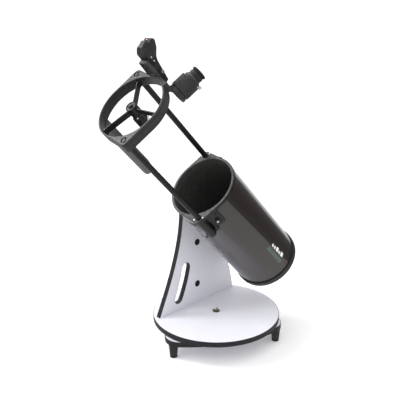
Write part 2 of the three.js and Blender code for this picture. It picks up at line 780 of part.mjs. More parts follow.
function radialBasis(angle) {
  const outwards = new THREE.Vector3(...polar(1, angle), 0);
  const along = new THREE.Vector3(0, 0, 1);
  return new THREE.Matrix4().makeBasis(along.clone().cross(outwards), along, outwards);
}

const COLLAR_TOP = 112;
const COLLAR_RADIUS = 23.2;
const DRAWTUBE_RADIUS = 18.7;
const BARREL_RADIUS = 15.8;
const GRIP_BOTTOM = 108.6;
const GRIP_TOP = 144.5;
const GRIP_RADIUS = 26.2;
const SCREW_HEIGHT = GRIP_TOP + 4.6;
const SCREW_DIRECTIONS = [-125, -55];

// What the ring of the cage leaves free outside it, in the frame of a piece that stands on it.
function cageVolume(angle, alongOffset) {
  const outline = corneredOutline(CAGE_RADIUS + GAP, CORNER_RADIUS + GAP);
  const volume = plate(outline, CAGE_BACK_Z - GAP, CAGE_FRONT_Z + GAP);
  return volume.translate(0, 0, -alongOffset).applyMatrix4(radialBasis(angle).invert());
}

// The bracket's underside stays outside the mouth flange, which it passes when the tube is collapsed.
function buildFocuserBracket() {
  const front = CAGE_FRONT_Z - 4 - FOCUS_Z;
  const back = 1 - GRIP_RADIUS;
  const side = polygon([
    [front, 80],
    [front, 95.5],
    [CAGE_BACK_Z - FOCUS_Z + 12, 96.2],
    [back, 103.6],
    [back, 100],
    [CAGE_BACK_Z - FOCUS_Z - 15, 94.2],
    [CAGE_BACK_Z - FOCUS_Z - 2, 88],
    [CAGE_BACK_Z - FOCUS_Z + 2, 80],
  ]);
  const arm = sideways(plate(side, -26, 26));
  const collar = rod(COLLAR_RADIUS, 99, COLLAR_TOP, 24);
  const body = cut(
    joined(arm, collar),
    cageVolume(FOCUS_ANGLE, FOCUS_Z),
    rod(DRAWTUBE_RADIUS + GAP, 60, COLLAR_TOP + 1, 24),
  );
  part(focuser, "focuser_bracket", body, "moulding");
}

function buildFocuser() {
  const drawtube = ring(BARREL_RADIUS + GAP, DRAWTUBE_RADIUS, 99, GRIP_TOP - 4.3, 24);
  part(focuser, "focuser_drawtube", drawtube, "black");

  const ribs = 20;
  const outline = [];
  for (let i = 0; i < ribs; i++) {
    outline.push(polar(GRIP_RADIUS, (360 * i) / ribs));
    outline.push(polar(GRIP_RADIUS, (360 * (i + 0.6)) / ribs));
    outline.push(polar(GRIP_RADIUS - 0.9, (360 * (i + 0.8)) / ribs));
  }
  const grip = plate(polygon(outline), GRIP_BOTTOM, GRIP_TOP);
  const cap = rod(21.5, GRIP_TOP - 1, GRIP_TOP + 7.5, 24);
  const screwHoles = SCREW_DIRECTIONS.map((angle) => sideScrew(rod(1.8, 12, 24, 12), angle));
  const holder = cut(
    joined(grip, cap),
    rod(COLLAR_RADIUS + 0.6, GRIP_BOTTOM - 1, GRIP_TOP - 4, 24),
    rod(BARREL_RADIUS + GAP, GRIP_BOTTOM - 1, GRIP_TOP + 9, 24),
    ...screwHoles,
  );
  part(focuser, "eyepiece_holder", holder, "black");

  SCREW_DIRECTIONS.forEach((angle, i) => {
    const screw = joined(rod(1.5, 16.4, 23, 12), rod(4.2, 22.2, 30, 12));
    part(focuser, `eyepiece_screw_${i + 1}`, sideScrew(screw, angle), "steel");
  });
}

function sideScrew(piece, angle) {
  return piece.rotateY(Math.PI / 2).rotateZ(radians(angle)).translate(0, 0, SCREW_HEIGHT);
}

function buildEyepiece() {
  const seat = GRIP_TOP + 7.8;
  const body = turned(
    [
      [0, 113],
      [13.5, 113],
      [BARREL_RADIUS, 114],
      [BARREL_RADIUS, seat],
      [18, seat],
      [18, seat + 5],
      [19, seat + 6],
      [19, seat + 19],
      [17.5, seat + 22],
      [15.5, seat + 22],
      [9, seat + 17],
      [0, seat + 17],
    ],
    24,
  );
  part(focuser, "eyepiece", body, "black");
}

// ---------------------------------------------------------------- red-dot finder

const finder = new THREE.Group();
finder.rotation.setFromRotationMatrix(radialBasis(FINDER_ANGLE));
tube.add(finder);

const SHOE_TOP = 107;
const FINDER_FLOOR = SHOE_TOP + GAP;

function buildFinder() {
  const shoeSide = polygon([
    [CAGE_BACK_Z + 3, 80],
    [CAGE_FRONT_Z - 2, 80],
    [CAGE_FRONT_Z - 2, 95],
    [518, 96.5],
    [518, SHOE_TOP],
    [CAGE_BACK_Z + 3, SHOE_TOP],
  ]);
  const shoe = cut(sideways(plate(shoeSide, -11, 13)), cageVolume(FINDER_ANGLE, 0));
  part(finder, "finder_shoe", shoe, "moulding");

  const side = new THREE.Shape();
  side.moveTo(434, FINDER_FLOOR);
  side.lineTo(536, FINDER_FLOOR);
  side.quadraticCurveTo(549, 112, 549, 128);
  side.lineTo(549, 144);
  side.quadraticCurveTo(547, 156, 536, 156);
  side.quadraticCurveTo(524, 155, 518, 146);
  side.quadraticCurveTo(516, 134, 505, 130);
  side.lineTo(434, 119);
  const window = block([-9, 500, 138], [9, 560, 151]);
  const housing = cut(sideways(plate(side, -14, 14, 6)), window);
  part(finder, "finder_body", housing, "black");
  const pane = block([-9 + GAP, 538, 138 + GAP], [9 - GAP, 541, 151 - GAP]);
  part(finder, "finder_window", pane, "lens");

  const knob = joined(rod(8.5, 14 + GAP, 21, 16), rod(7.2, 20, 23, 16));
  const placed = knob.rotateY(Math.PI / 2).translate(0, 523, 122);
  part(finder, "finder_switch", placed, "foot");
  const adjuster = rod(4.5, -20, -14 - GAP, 12).rotateY(Math.PI / 2).translate(0, 470, 114);
  part(finder, "finder_adjuster", adjuster, "steel");
}

// ---------------------------------------------------------------- assembly

buildGround();
buildPivot();
buildTurntable();
buildArm();
buildAltitudeBearing();
buildFlange();
buildLocks();
buildLowerTube();
buildCell();
buildPrimary();
buildStruts();
buildCageRing();
buildLightShield();
buildSpider();
buildSecondary();
buildFocuserBracket();
buildFocuser();
buildEyepiece();
buildFinder();

tube.position.set(TUBE_X, 0, ALTITUDE_AXIS_Z);
tube.rotation.x = radians(90 - ALTITUDE);

telescope.updateMatrixWorld(true);
const bounds = new THREE.Box3().setFromObject(telescope, true);
const middle = bounds.getCenter(new THREE.Vector3());
telescope.position.set(-middle.x, -middle.y, -bounds.min.z);

export default telescope;
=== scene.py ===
"""The looks of a tabletop newtonian reflector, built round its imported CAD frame.

Shapes are drawn in millimetres in a local frame of the stand, the tube, the focuser or the finder,
and placed in the row frame in metres.
"""

import json
import math
from contextlib import contextmanager

import bmesh
import bpy
from mathutils import Matrix, Vector

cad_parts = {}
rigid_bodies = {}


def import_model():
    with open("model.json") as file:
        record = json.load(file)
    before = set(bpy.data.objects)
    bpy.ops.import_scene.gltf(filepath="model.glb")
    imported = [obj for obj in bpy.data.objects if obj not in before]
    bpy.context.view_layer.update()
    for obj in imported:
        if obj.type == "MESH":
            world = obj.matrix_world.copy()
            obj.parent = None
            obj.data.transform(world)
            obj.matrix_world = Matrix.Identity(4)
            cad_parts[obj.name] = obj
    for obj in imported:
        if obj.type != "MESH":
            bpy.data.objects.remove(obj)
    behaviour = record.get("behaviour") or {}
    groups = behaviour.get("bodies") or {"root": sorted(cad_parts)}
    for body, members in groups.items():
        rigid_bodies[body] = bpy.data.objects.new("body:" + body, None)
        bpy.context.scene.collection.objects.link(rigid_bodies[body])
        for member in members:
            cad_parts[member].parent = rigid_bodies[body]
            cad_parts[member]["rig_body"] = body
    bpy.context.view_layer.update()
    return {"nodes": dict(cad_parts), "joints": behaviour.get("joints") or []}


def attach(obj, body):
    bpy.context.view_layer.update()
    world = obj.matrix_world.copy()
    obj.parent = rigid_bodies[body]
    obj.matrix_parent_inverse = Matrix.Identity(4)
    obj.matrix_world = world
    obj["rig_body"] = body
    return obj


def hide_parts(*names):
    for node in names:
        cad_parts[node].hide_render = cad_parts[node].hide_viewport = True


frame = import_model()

MM = 0.001
FAR = 400.0  # longer than any cut, in millimetres


def bearing(vector):
    """A vector's direction round the z axis, in degrees."""
    return math.degrees(math.atan2(vector[1], vector[0]))


def linked(name, data):
    """A new object in the scene."""
    made = bpy.data.objects.new(name, data)
    bpy.context.scene.collection.objects.link(made)
    return made


@contextmanager
def editing(mesh):
    """Opens a mesh for bmesh's operations, and writes it back."""
    work = bmesh.new()
    work.from_mesh(mesh)
    yield work
    work.to_mesh(mesh)
    work.free()


# ---------------------------------------------------------------- places in the frame


class Place:
    """A local frame in millimetres, and what the CAD nodes measure in it."""

    def __init__(self, origin, x_axis, z_axis):
        x = Vector(x_axis).normalized()
        z = Vector(z_axis).normalized()
        turn = Matrix((x, z.cross(x), z)).transposed()
        self.matrix = Matrix.Translation(Vector(origin)) @ turn.to_4x4()
        self.inverse = self.matrix.inverted()

    def points(self, node):
        return [(self.inverse @ v.co) / MM for v in frame["nodes"][node].data.vertices]

    def low(self, node):
        return Vector([min(p[i] for p in self.points(node)) for i in range(3)])

    def high(self, node):
        return Vector([max(p[i] for p in self.points(node)) for i in range(3)])

    def middle(self, node):
        return (self.low(node) + self.high(node)) / 2

    def radii(self, node):
        """The smallest and the largest distance of a node's points from the frame's z axis."""
        reach = [math.hypot(p.x, p.y) for p in self.points(node)]
        return min(reach), max(reach)

    def direction(self, node):
        """The direction of a node's middle round the frame's z axis, in degrees."""
        return bearing(self.middle(node))

    def heights(self, node):
        return self.low(node).z, self.high(node).z


joints = {joint["name"]: joint for joint in frame["joints"]}
pivot = Vector(joints["altitude_tilt"]["pos_m"])
skyward = -Vector(joints["cage_slide"]["axis"])
eyeward = Vector(joints["focus_travel"]["axis"])
finder_left = Vector(joints["finder_switch_turn"]["axis"])
FOCUS_Z = (Vector(joints["focus_turn"]["pos_m"]) - pivot).dot(skyward) / MM

STAND = Place(joints["azimuth_turn"]["pos_m"], (1, 0, 0), (0, 0, 1))
TUBE = Place(pivot, (1, 0, 0), skyward)
FOCUSER = Place(pivot + skyward * FOCUS_Z * MM, skyward.cross(eyeward), eyeward)
FINDER = Place(pivot, finder_left, finder_left.cross(skyward))


# ---------------------------------------------------------------- outlines


def polar(radius, degrees):
    angle = math.radians(degrees)
    return radius * math.cos(angle), radius * math.sin(angle)


def arc(centre, radius, start, end, steps):
    points = [polar(radius, start + (end - start) * i / steps) for i in range(steps + 1)]
    return [(centre[0] + x, centre[1] + y) for x, y in points]


def circle(radius, steps=48, centre=(0, 0)):
    return arc(centre, radius, 0, 360, steps)[:-1]


def curve(points, steps):
    """A Bezier curve through its first and last point, with the others as its handles."""
    made = []
    for i in range(steps + 1):
        level = [Vector(p) for p in points]
        while len(level) > 1:
            level = [a.lerp(b, i / steps) for a, b in zip(level, level[1:])]
        made.append(tuple(level[0]))
    return made


def offset(outline, distance):
    """A closed anticlockwise outline, moved inwards by a distance."""
    moved = []
    count = len(outline)
    for i, point in enumerate(outline):
        before = Vector(point) - Vector(outline[i - 1])
        after = Vector(outline[(i + 1) % count]) - Vector(point)
        first = Vector((-before.y, before.x)).normalized()
        second = Vector((-after.y, after.x)).normalized()
        inwards = (first + second) / max(0.3, 1 + first.dot(second))
        moved.append(tuple(Vector(point) + inwards * distance))
    return moved


def rounded(corners, radius, steps=4):
    """A closed outline with its corners rounded. A third number in a corner is its own radius."""
    made = []
    count = len(corners)
    for i, corner in enumerate(corners):
        here = Vector(corner[:2])
        before = Vector(corners[i - 1][:2]) - here
        after = Vector(corners[(i + 1) % count][:2]) - here
        own = corner[2] if len(corner) > 2 else radius
        opening = before.angle(after)
        if own <= 0 or opening > math.pi - 0.01:
            made.append(tuple(here))
            continue
        longest = 0.49 * min(before.length, after.length)
        tangent = min(own / math.tan(opening / 2), longest)
        own = tangent * math.tan(opening / 2)
        bisector = (before.normalized() + after.normalized()).normalized()
        centre = here + bisector * own / math.sin(opening / 2)
        start = here + before.normalized() * tangent - centre
        end = here + after.normalized() * tangent - centre
        sweep = start.angle_signed(end)
        for k in range(steps + 1):
            turn = Matrix.Rotation(-sweep * k / steps, 2)
            made.append(tuple(centre + turn @ start))
    return made


# ---------------------------------------------------------------- solids


class Solid:
    """A closed mesh in millimetres."""

    def __init__(self, points, faces):
        self.mesh = bpy.data.meshes.new("solid")
        self.mesh.from_pydata([tuple(p) for p in points], [], faces)
        with editing(self.mesh) as work:
            bmesh.ops.remove_doubles(work, verts=work.verts, dist=1e-4)
            bmesh.ops.recalc_face_normals(work, faces=work.faces)

    def moved(self, x=0.0, y=0.0, z=0.0):
        self.mesh.transform(Matrix.Translation((x, y, z)))
        return self

    def turned(self, axis, degrees):
        self.mesh.transform(Matrix.Rotation(math.radians(degrees), 4, axis))
        return self

    def sideways(self):
        """Takes (x, y) to (y, z), and the height to x."""
        self.mesh.transform(Matrix(((0, 0, 1, 0), (1, 0, 0, 0), (0, 1, 0, 0), (0, 0, 0, 1))))
        return self

    def outwards(self, degrees, z=0.0):
        """Points a solid that stands on z = 0 away from the z axis in a direction."""
        return self.turned("Y", 90).turned("Z", degrees).moved(z=z)

    def combined(self, others, operation):
        host = linked("host", self.mesh)
        tools = []
        for other in others:
            tool = linked("tool", other.mesh)
            modifier = host.modifiers.new("boolean", "BOOLEAN")
            modifier.object = tool
            modifier.operation = operation
            modifier.solver = "MANIFOLD"
            tools.append(tool)
        graph = bpy.context.evaluated_depsgraph_get()
        self.mesh = bpy.data.meshes.new_from_object(host.evaluated_get(graph))
        for used in [host, *tools]:
            bpy.data.objects.remove(used)
        return self

    def add(self, *others):
        return self.combined(others, "UNION")

    def cut(self, *others):
        return self.combined(others, "DIFFERENCE")

    def within(self, other):
        return self.combined([other], "INTERSECT")

    def wrapped(self, radius, direction=0.0, step=2.5):
        """Wraps a flat solid round the z axis: x becomes the way round at a radius, y becomes z,
        and the height becomes the distance from the axis."""
        with editing(self.mesh) as work:
            span = [v.co.x for v in work.verts]
            width = radius * math.radians(step)
            for i in range(math.ceil(min(span) / width), math.floor(max(span) / width) + 1):
                everything = [*work.verts, *work.edges, *work.faces]
                cut_at = (i * width, 0, 0)
                bmesh.ops.bisect_plane(work, geom=everything, plane_co=cut_at, plane_no=(1, 0, 0))
            for vertex in work.verts:
                angle = math.radians(direction) + vertex.co.x / radius
                reach = vertex.co.z
                vertex.co = (reach * math.cos(angle), reach * math.sin(angle), vertex.co.y)
        return self

    def painted(self, index, chosen):
        """Gives another material slot to the faces whose middle and normal are chosen."""
        for face in self.mesh.polygons:
            if chosen(face.center, face.normal):
                face.material_index = index
        return self


def stack(outline, levels, ring=False):
    """A solid through copies of an outline, one for each level of (inset, height). A ring closes
    on itself."""
    points = []
    for inset, height in levels:
        points += [(x, y, height) for x, y in offset(outline, inset)]
    count = len(outline)
    faces = []
    last = len(levels) if ring else len(levels) - 1
    for level in range(last):
        low = level * count
        high = ((level + 1) % len(levels)) * count
        for i in range(count):
            j = (i + 1) % count
            faces.append((low + i, low + j, high + j, high + i))
    if not ring:
        top = (len(levels) - 1) * count
        faces.append(tuple(reversed(range(count))))
        faces.append(tuple(range(top, top + count)))
    return Solid(points, faces)


def edge_levels(bottom, top, edge, steps=3):
    """The levels of a prism whose upper and lower edges are rounded."""
    if edge <= 0:
        return [(0, bottom), (0, top)]
    turns = [math.pi / 2 * i / steps for i in range(steps + 1)]
    rise = [(edge * (1 - math.sin(t)), edge * (1 - math.cos(t))) for t in turns]
    return [(i, bottom + h) for i, h in rise] + [(i, top - h) for i, h in reversed(rise)]


def prism(outline, bottom, top, edge=0.5, steps=3):
    return stack(outline, edge_levels(bottom, top, edge, steps))


def band(outline, thickness, bottom, top, edge=0.4):
    """A closed strip inside an outline."""
    corners = [(0, bottom), (0, top), (thickness, top), (thickness, bottom)]
    return stack(outline, rounded(corners, edge, 3), ring=True)


def block(low, high, edge=0.5, corner=None):
    corners = [(low[0], low[1]), (high[0], low[1]), (high[0], high[1]), (low[0], high[1])]
    outline = rounded(corners, edge if corner is None else corner, 4)
    return prism(outline, low[2], high[2], edge)


def lathe(profile, steps=72):
    """A round solid about z. The profile runs from the bottom outwards and up, and either starts
    and ends on the axis or closes on itself."""
    points = []
    rings = []
    for radius, height in profile:
        start = len(points)
        if radius < 1e-6:
            points.append((0, 0, height))
            rings.append([start] * steps)
        else:
            points += [(*polar(radius, 360 * i / steps), height) for i in range(steps)]
            rings.append(list(range(start, start + steps)))
    pairs = list(zip(rings, rings[1:]))
    if profile[0][0] >= 1e-6:
        pairs.append((rings[-1], rings[0]))
    faces = []
    for low, high in pairs:
        for i in range(steps):
            j = (i + 1) % steps
            face = list(dict.fromkeys((low[i], low[j], high[j], high[i])))
            if len(face) > 2:
                faces.append(face)
    return Solid(points, faces)


def turning(corners, edge=0.5, steps=72, edge_steps=3):
    """A round solid whose profile's corners are rounded, apart from those on the axis."""
    marked = [(r, h, 0.0) if r < 1e-6 else (r, h, *own) for r, h, *own in corners]
    return lathe(rounded(marked, edge, edge_steps), steps)


def rod(radius, bottom, top, edge=0.3, steps=48):
    return turning([(0, bottom), (radius, bottom), (radius, top), (0, top)], edge, steps)


def tube_ring(inner, outer, bottom, top, edge=0.3, steps=96):
    corners = [(inner, bottom), (outer, bottom), (outer, top), (inner, top)]
    return turning(corners, edge, steps)


def sweep(path, radius, steps=10):
    """A round wire along a path."""
    path = [Vector(p) for p in path]
    points = []
    side = Vector((0, 0, 1)).cross(path[1] - path[0]).normalized()
    for i, here in enumerate(path):
        along = (path[min(i + 1, len(path) - 1)] - path[max(i - 1, 0)]).normalized()
        side = (side - along * side.dot(along)).normalized()
        other = along.cross(side)
        for k in range(steps):
            x, y = polar(radius, 360 * k / steps)
            points.append(here + side * x + other * y)
    faces = [tuple(reversed(range(steps)))]
    for i in range(len(path) - 1):
        for k in range(steps):
            j = (k + 1) % steps
            a, b = i * steps, (i + 1) * steps
            faces.append((a + k, a + j, b + j, b + k))
    faces.append(tuple(range((len(path) - 1) * steps, len(path) * steps)))
    return Solid(points, faces)


def hexagon(across_corners, bottom, top, chamfer=0.8):
    """A hexagon head or nut, with its corners turned off."""
    radius = across_corners / 2
    flat = prism(circle(radius, 6), bottom, top, 0.15, 2)
    corners = [(0, bottom), (radius - chamfer, bottom), (radius + 0.2, bottom + chamfer),
        (radius + 0.2, top - chamfer), (radius - chamfer, top), (0, top)]
    return flat.within(turning(corners, 0.0, 48))


def pan_screw(radius, height, cross=True):
    """A small domed screw head that stands on z = 0, with a crossed recess."""
    side = [(radius, -1.5), (radius, height * 0.45, 0.8), (radius * 0.55, height)]
    head = turning([(0, -1.5), *side, (0, height)], 0.5, 28)
    if not cross:
        return head
    reach = radius * 0.55
    wide = radius * 0.14
    bar = block((-reach, -wide, height * 0.3), (reach, wide, height + 2), 0.0)
    other = block((-wide, -reach, height * 0.3), (wide, reach, height + 2), 0.0)
    return head.cut(bar, other)


def scalloped(radius, depth, count, steps=6):
    """A round outline with shallow waves in it, for a grip."""
    made = []
    for i in range(count * steps):
        wave = 0.5 - 0.5 * math.cos(2 * math.pi * i / steps)
        made.append(polar(radius - depth * wave**2, 360 * i / (count * steps)))
    return made


# ---------------------------------------------------------------- materials


def node(tree, kind, **inputs):
    made = tree.nodes.new(kind)
    for name, value in inputs.items():
        made.inputs[name.replace("_", " ")].default_value = value
    return made


class Finish:
    """A procedural material on a Principled shader, whose textures follow the piece."""

    def __init__(self, name, colour, roughness, metallic=0.0, **sockets):
        self.material = bpy.data.materials.new(name)
        self.material.use_nodes = True
        self.tree = self.material.node_tree
        self.shader = self.tree.nodes["Principled BSDF"]
        self.shader.inputs["Base Color"].default_value = (*colour, 1)
        self.shader.inputs["Roughness"].default_value = roughness
        self.shader.inputs["Metallic"].default_value = metallic
        for socket, value in sockets.items():
            self.shader.inputs[socket.replace("_", " ")].default_value = value
        self.place = self.tree.nodes.new("ShaderNodeTexCoord").outputs["Object"]
        self.height = None

    def stretched(self, scale):
        """The piece's own coordinates, scaled by axis."""
        mapping = node(self.tree, "ShaderNodeMapping", Scale=scale)
        self.tree.links.new(self.place, mapping.inputs["Vector"])
        return mapping.outputs["Vector"]

    def noise(self, scale, detail=3.0, stretch=None):
        made = node(self.tree, "ShaderNodeTexNoise", Scale=scale, Detail=detail)
        source = self.stretched(stretch) if stretch else self.place
        self.tree.links.new(source, made.inputs["Vector"])
        return made.outputs["Fac"]

    def spread(self, value, low, high, start=0.3, end=0.7):
        limits = {"From_Min": start, "From_Max": end, "To_Min": low, "To_Max": high}
        made = node(self.tree, "ShaderNodeMapRange", **limits)
        self.tree.links.new(value, made.inputs["Value"])
        return made.outputs["Result"]

    def rough(self, low, high, scale, detail=4.0, stretch=None):
        value = self.spread(self.noise(scale, detail, stretch), low, high)
        self.tree.links.new(value, self.shader.inputs["Roughness"])
        return self

    def tint(self, first, second, scale, detail=4.0, stretch=None, start=0.35, end=0.65):
        mix = self.tree.nodes.new("ShaderNodeMix")
        mix.data_type = "RGBA"
        share = self.spread(self.noise(scale, detail, stretch), 0, 1, start, end)
        self.tree.links.new(share, mix.inputs["Factor"])
        mix.inputs["A"].default_value = (*first, 1)
        mix.inputs["B"].default_value = (*second, 1)
        self.tree.links.new(mix.outputs["Result"], self.shader.inputs["Base Color"])
        return self

    def bump(self, value, depth):
        """Adds a relief of a depth in metres."""
        made = node(self.tree, "ShaderNodeBump", Distance=depth, Strength=1.0)
        self.tree.links.new(value, made.inputs["Height"])
        if self.height is not None:
            self.tree.links.new(self.height, made.inputs["Normal"])
        self.height = made.outputs["Normal"]
        self.tree.links.new(self.height, self.shader.inputs["Normal"])
        return self


finishes = {}


def add_finish(key, *base, tint=None, rough=None, relief=None, **sockets):
    """A finish from Finish's arguments, then those of tint and rough, then a relief's depth in
    metres with the arguments of its noise."""
    made = Finish(*base, **sockets)
    if tint:
        made.tint(*tint)
    if rough:
        made.rough(*rough)
    if relief:
        made.bump(made.noise(*relief[1:]), relief[0])
    finishes[key] = made.material


add_finish("laminate", "white_laminate", (0.77, 0.77, 0.83), 0.42, Specular_IOR_Level=0.35,
    tint=((0.76, 0.76, 0.825), (0.785, 0.785, 0.845), 9, 3), rough=(0.36, 0.5, 60),
    relief=(6e-05, 900, 2))
add_finish("edging", "black_edging", (0.012, 0.012, 0.014), 0.5, Specular_IOR_Level=0.3,
    tint=((0.009, 0.009, 0.011), (0.018, 0.018, 0.02), 140), rough=(0.42, 0.6, 300),
    relief=(8e-05, 1600, 2))
add_finish("foot", "foot_plastic", (0.014, 0.014, 0.015), 0.55, Specular_IOR_Level=0.35,
    tint=((0.011, 0.011, 0.012), (0.02, 0.02, 0.021), 60), rough=(0.45, 0.65, 240),
    relief=(0.00012, 1200, 3))
add_finish("black", "black_plastic", (0.009, 0.009, 0.01), 0.42, Specular_IOR_Level=0.38,
    tint=((0.007, 0.007, 0.008), (0.014, 0.014, 0.015), 80), rough=(0.34, 0.52, 220),
    relief=(0.0001, 1500, 3))
add_finish("moulding", "grey_moulding", (0.02, 0.018, 0.019), 0.42, Specular_IOR_Level=0.4,
    tint=((0.016, 0.0145, 0.0155), (0.026, 0.024, 0.025), 45), rough=(0.34, 0.52, 260),
    relief=(0.00012, 1400, 3))
add_finish("shield", "shield_plastic", (0.045, 0.045, 0.048), 0.45, Specular_IOR_Level=0.4,
    tint=((0.038, 0.038, 0.041), (0.052, 0.052, 0.055), 30), rough=(0.38, 0.55, 180),
    relief=(0.0001, 1400, 3))
add_finish("paint", "tube_paint", (0.014, 0.009, 0.007), 0.35, 0.2, Coat_Weight=1.0,
    Coat_Roughness=0.035, tint=((0.008, 0.0042, 0.0032), (0.023, 0.0135, 0.0105), 2600, 2, None,
    0.3, 0.7), rough=(0.3, 0.45, 1900, 2), relief=(5e-05, 30, 2))
add_finish("inside", "flat_black", (0.05, 0.05, 0.048), 0.6, Specular_IOR_Level=0.5,
    tint=((0.042, 0.042, 0.04), (0.058, 0.058, 0.056), 90), rough=(0.45, 0.7, 120),
    relief=(0.0001, 900, 3))
add_finish("strut", "strut_finish", (0.008, 0.007, 0.006), 0.34, Specular_IOR_Level=0.3,
    tint=((0.006, 0.005, 0.0045), (0.013, 0.011, 0.01), 160, 3, (1, 1, 0.06)),
    rough=(0.26, 0.42, 420, 3, (1, 1, 0.04)), relief=(3e-05, 500, 2, (1, 1, 0.05)))
add_finish("steel", "bright_steel", (0.7, 0.68, 0.62), 0.22, 1.0,
    tint=((0.6, 0.57, 0.5), (0.8, 0.78, 0.73), 300), rough=(0.12, 0.32, 700),
    relief=(3e-05, 1500, 2, (1, 1, 0.2)))
# A darker copy of the bright steel: painted shade on the pivot's washer, nut and bolt sides.
add_finish("shaded_steel", "shaded_steel", (0.2, 0.19, 0.15), 0.3, 1.0,
    tint=((0.12, 0.11, 0.085), (0.3, 0.28, 0.22), 260), rough=(0.22, 0.42, 500))
add_finish("dark_steel", "black_steel", (0.03, 0.03, 0.032), 0.35, 0.9,
    tint=((0.022, 0.022, 0.024), (0.045, 0.045, 0.047), 400), rough=(0.25, 0.45, 600),
    relief=(3e-05, 1500, 2))
add_finish("mirror", "mirror_coating", (0.9, 0.92, 0.94), 0.02, 1.0,
    tint=((0.9, 0.92, 0.94), (0.87, 0.9, 0.92), 18), rough=(0.012, 0.05, 25, 5))
add_finish("ground_glass", "ground_glass", (0.62, 0.68, 0.66), 0.5,
    tint=((0.58, 0.65, 0.62), (0.68, 0.73, 0.71), 120), rough=(0.4, 0.6, 500),
    relief=(3e-05, 2500, 2))
add_finish("lens", "coated_lens", (0.01, 0.012, 0.02), 0.03, Coat_Weight=1.0, Coat_Roughness=0.02,
    tint=((0.012, 0.016, 0.034), (0.02, 0.01, 0.03), 40), rough=(0.02, 0.05, 90))
add_finish("amber", "amber_window", (0.55, 0.3, 0.05), 0.12, Coat_Weight=0.8, Coat_Roughness=0.04,
    tint=((0.8, 0.42, 0.04), (0.4, 0.19, 0.03), 130), rough=(0.08, 0.2, 200))
add_finish("rubber", "rubber", (0.01, 0.01, 0.011), 0.75, Specular_IOR_Level=0.3,
    tint=((0.008, 0.008, 0.009), (0.016, 0.016, 0.017), 110), rough=(0.65, 0.85, 300),
    relief=(0.00015, 1800, 3))
add_finish("pad", "slippery_pad", (0.8, 0.8, 0.77), 0.35,
    tint=((0.78, 0.78, 0.75), (0.84, 0.84, 0.81), 50), rough=(0.28, 0.42, 200))
add_finish("white_print", "white_print", (0.85, 0.86, 0.86), 0.45, rough=(0.38, 0.52, 400),
    relief=(2e-05, 1800, 2))
add_finish("green_print", "green_print", (0.13, 0.24, 0.17), 0.45,
    tint=((0.1, 0.2, 0.14), (0.17, 0.29, 0.21), 400), rough=(0.38, 0.52, 400))

# The record's slot of each finish that isn't named after its slot.
FINISH_SLOTS = {"paint": "tube", "inside": "black", "shield": "moulding", "rubber": "foot",
    "amber": "lens", "shaded_steel": "steel", "dark_steel": "steel", "ground_glass": "mirror",
    "white_print": "label", "green_print": "label"}
SHARP_ANGLE = 32.0  # edges sharper than this stay sharp
MERGE_DISTANCE = 0.002  # millimetres


def place(solid, name, where, body, finish, slot=None, replaces=()):
    """Makes a piece of a solid: shades it, puts it in the row frame and has it ride on its body."""
    mesh = solid.mesh
    mesh.name = name
    with editing(mesh) as work:
        bmesh.ops.remove_doubles(work, verts=work.verts, dist=MERGE_DISTANCE)
        bmesh.ops.dissolve_degenerate(work, edges=work.edges, dist=MERGE_DISTANCE)
        bmesh.ops.scale(work, vec=(MM, MM, MM), verts=work.verts)
    painted = [face.material_index for face in mesh.polygons]
    mesh.materials.clear()  # this sets every face back to the first finish
    chosen = [finish] if isinstance(finish, str) else finish
    for material in chosen:
        mesh.materials.append(finishes[material])
    mesh.polygons.foreach_set("material_index", [min(i, len(chosen) - 1) for i in painted])
    mesh.shade_smooth()
    mesh.set_sharp_from_angle(angle=math.radians(SHARP_ANGLE))
    piece = linked(name, mesh)
    piece.matrix_world = where.matrix
    shading = piece.modifiers.new("shading", "WEIGHTED_NORMAL")
    shading.keep_sharp = True
    shading.weight = 90
    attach(piece, body)
    if replaces:
        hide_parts(*replaces)
    slot = slot or FINISH_SLOTS.get(chosen[0], chosen[0])
    return piece


def softened(piece, width):
    """Bevels a piece's sharp edges before its shading."""
    bevel = piece.modifiers.new("softened", "BEVEL")
    bevel.width = width * MM
    bevel.segments = 3
    bevel.limit_method = "ANGLE"
    bevel.angle_limit = math.radians(40)
    piece.modifiers.move(len(piece.modifiers) - 1, 0)
    return piece


def stand_for(solid, node_name, where, finish, slot=None):
    """Places a piece that takes over one CAD node."""
    body = frame["nodes"][node_name]["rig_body"]
    return place(solid, node_name + "_look", where, body, finish, slot, [node_name])


# ---------------------------------------------------------------- stand

GROUND_BOTTOM, GROUND_TOP = STAND.heights("ground_board")
DISC_BOTTOM, DISC_TOP = STAND.heights("turntable_disc")
DISC_RADIUS = STAND.radii("turntable_edging")[1]
EDGING = DISC_RADIUS - STAND.radii("turntable_edging")[0]
LOBES = [STAND.direction(f"foot_{i}") for i in (1, 2, 3)]
LOBE_RADIUS = 45.0
LOBE_SPREAD = 40.0
LOBE_CIRCLE = STAND.radii("ground_edging")[1] - LOBE_RADIUS
SEAM = 0.06  # a board's band stands this far off it
PIVOT_HOLE = 5.6


def ground_outline():
    """Three round lobes with gently bulging sides between them."""
    half = 60 - LOBE_SPREAD
    straight = LOBE_RADIUS + LOBE_CIRCLE * math.cos(math.radians(LOBE_SPREAD))
    bulge = straight / math.cos(math.radians(half))
    outline = []
    for lobe in LOBES:
        centre = polar(LOBE_CIRCLE, lobe)
        outline += arc(centre, LOBE_RADIUS, lobe - LOBE_SPREAD, lobe + LOBE_SPREAD, 18)
        following = polar(LOBE_CIRCLE, lobe + 120)
        start = polar(LOBE_RADIUS, lobe + 120 - LOBE_SPREAD)
        end = (following[0] + start[0], following[1] + start[1])
        outline += curve([outline[-1], polar(bulge, lobe + 60), end], 14)[1:-1]
    return outline


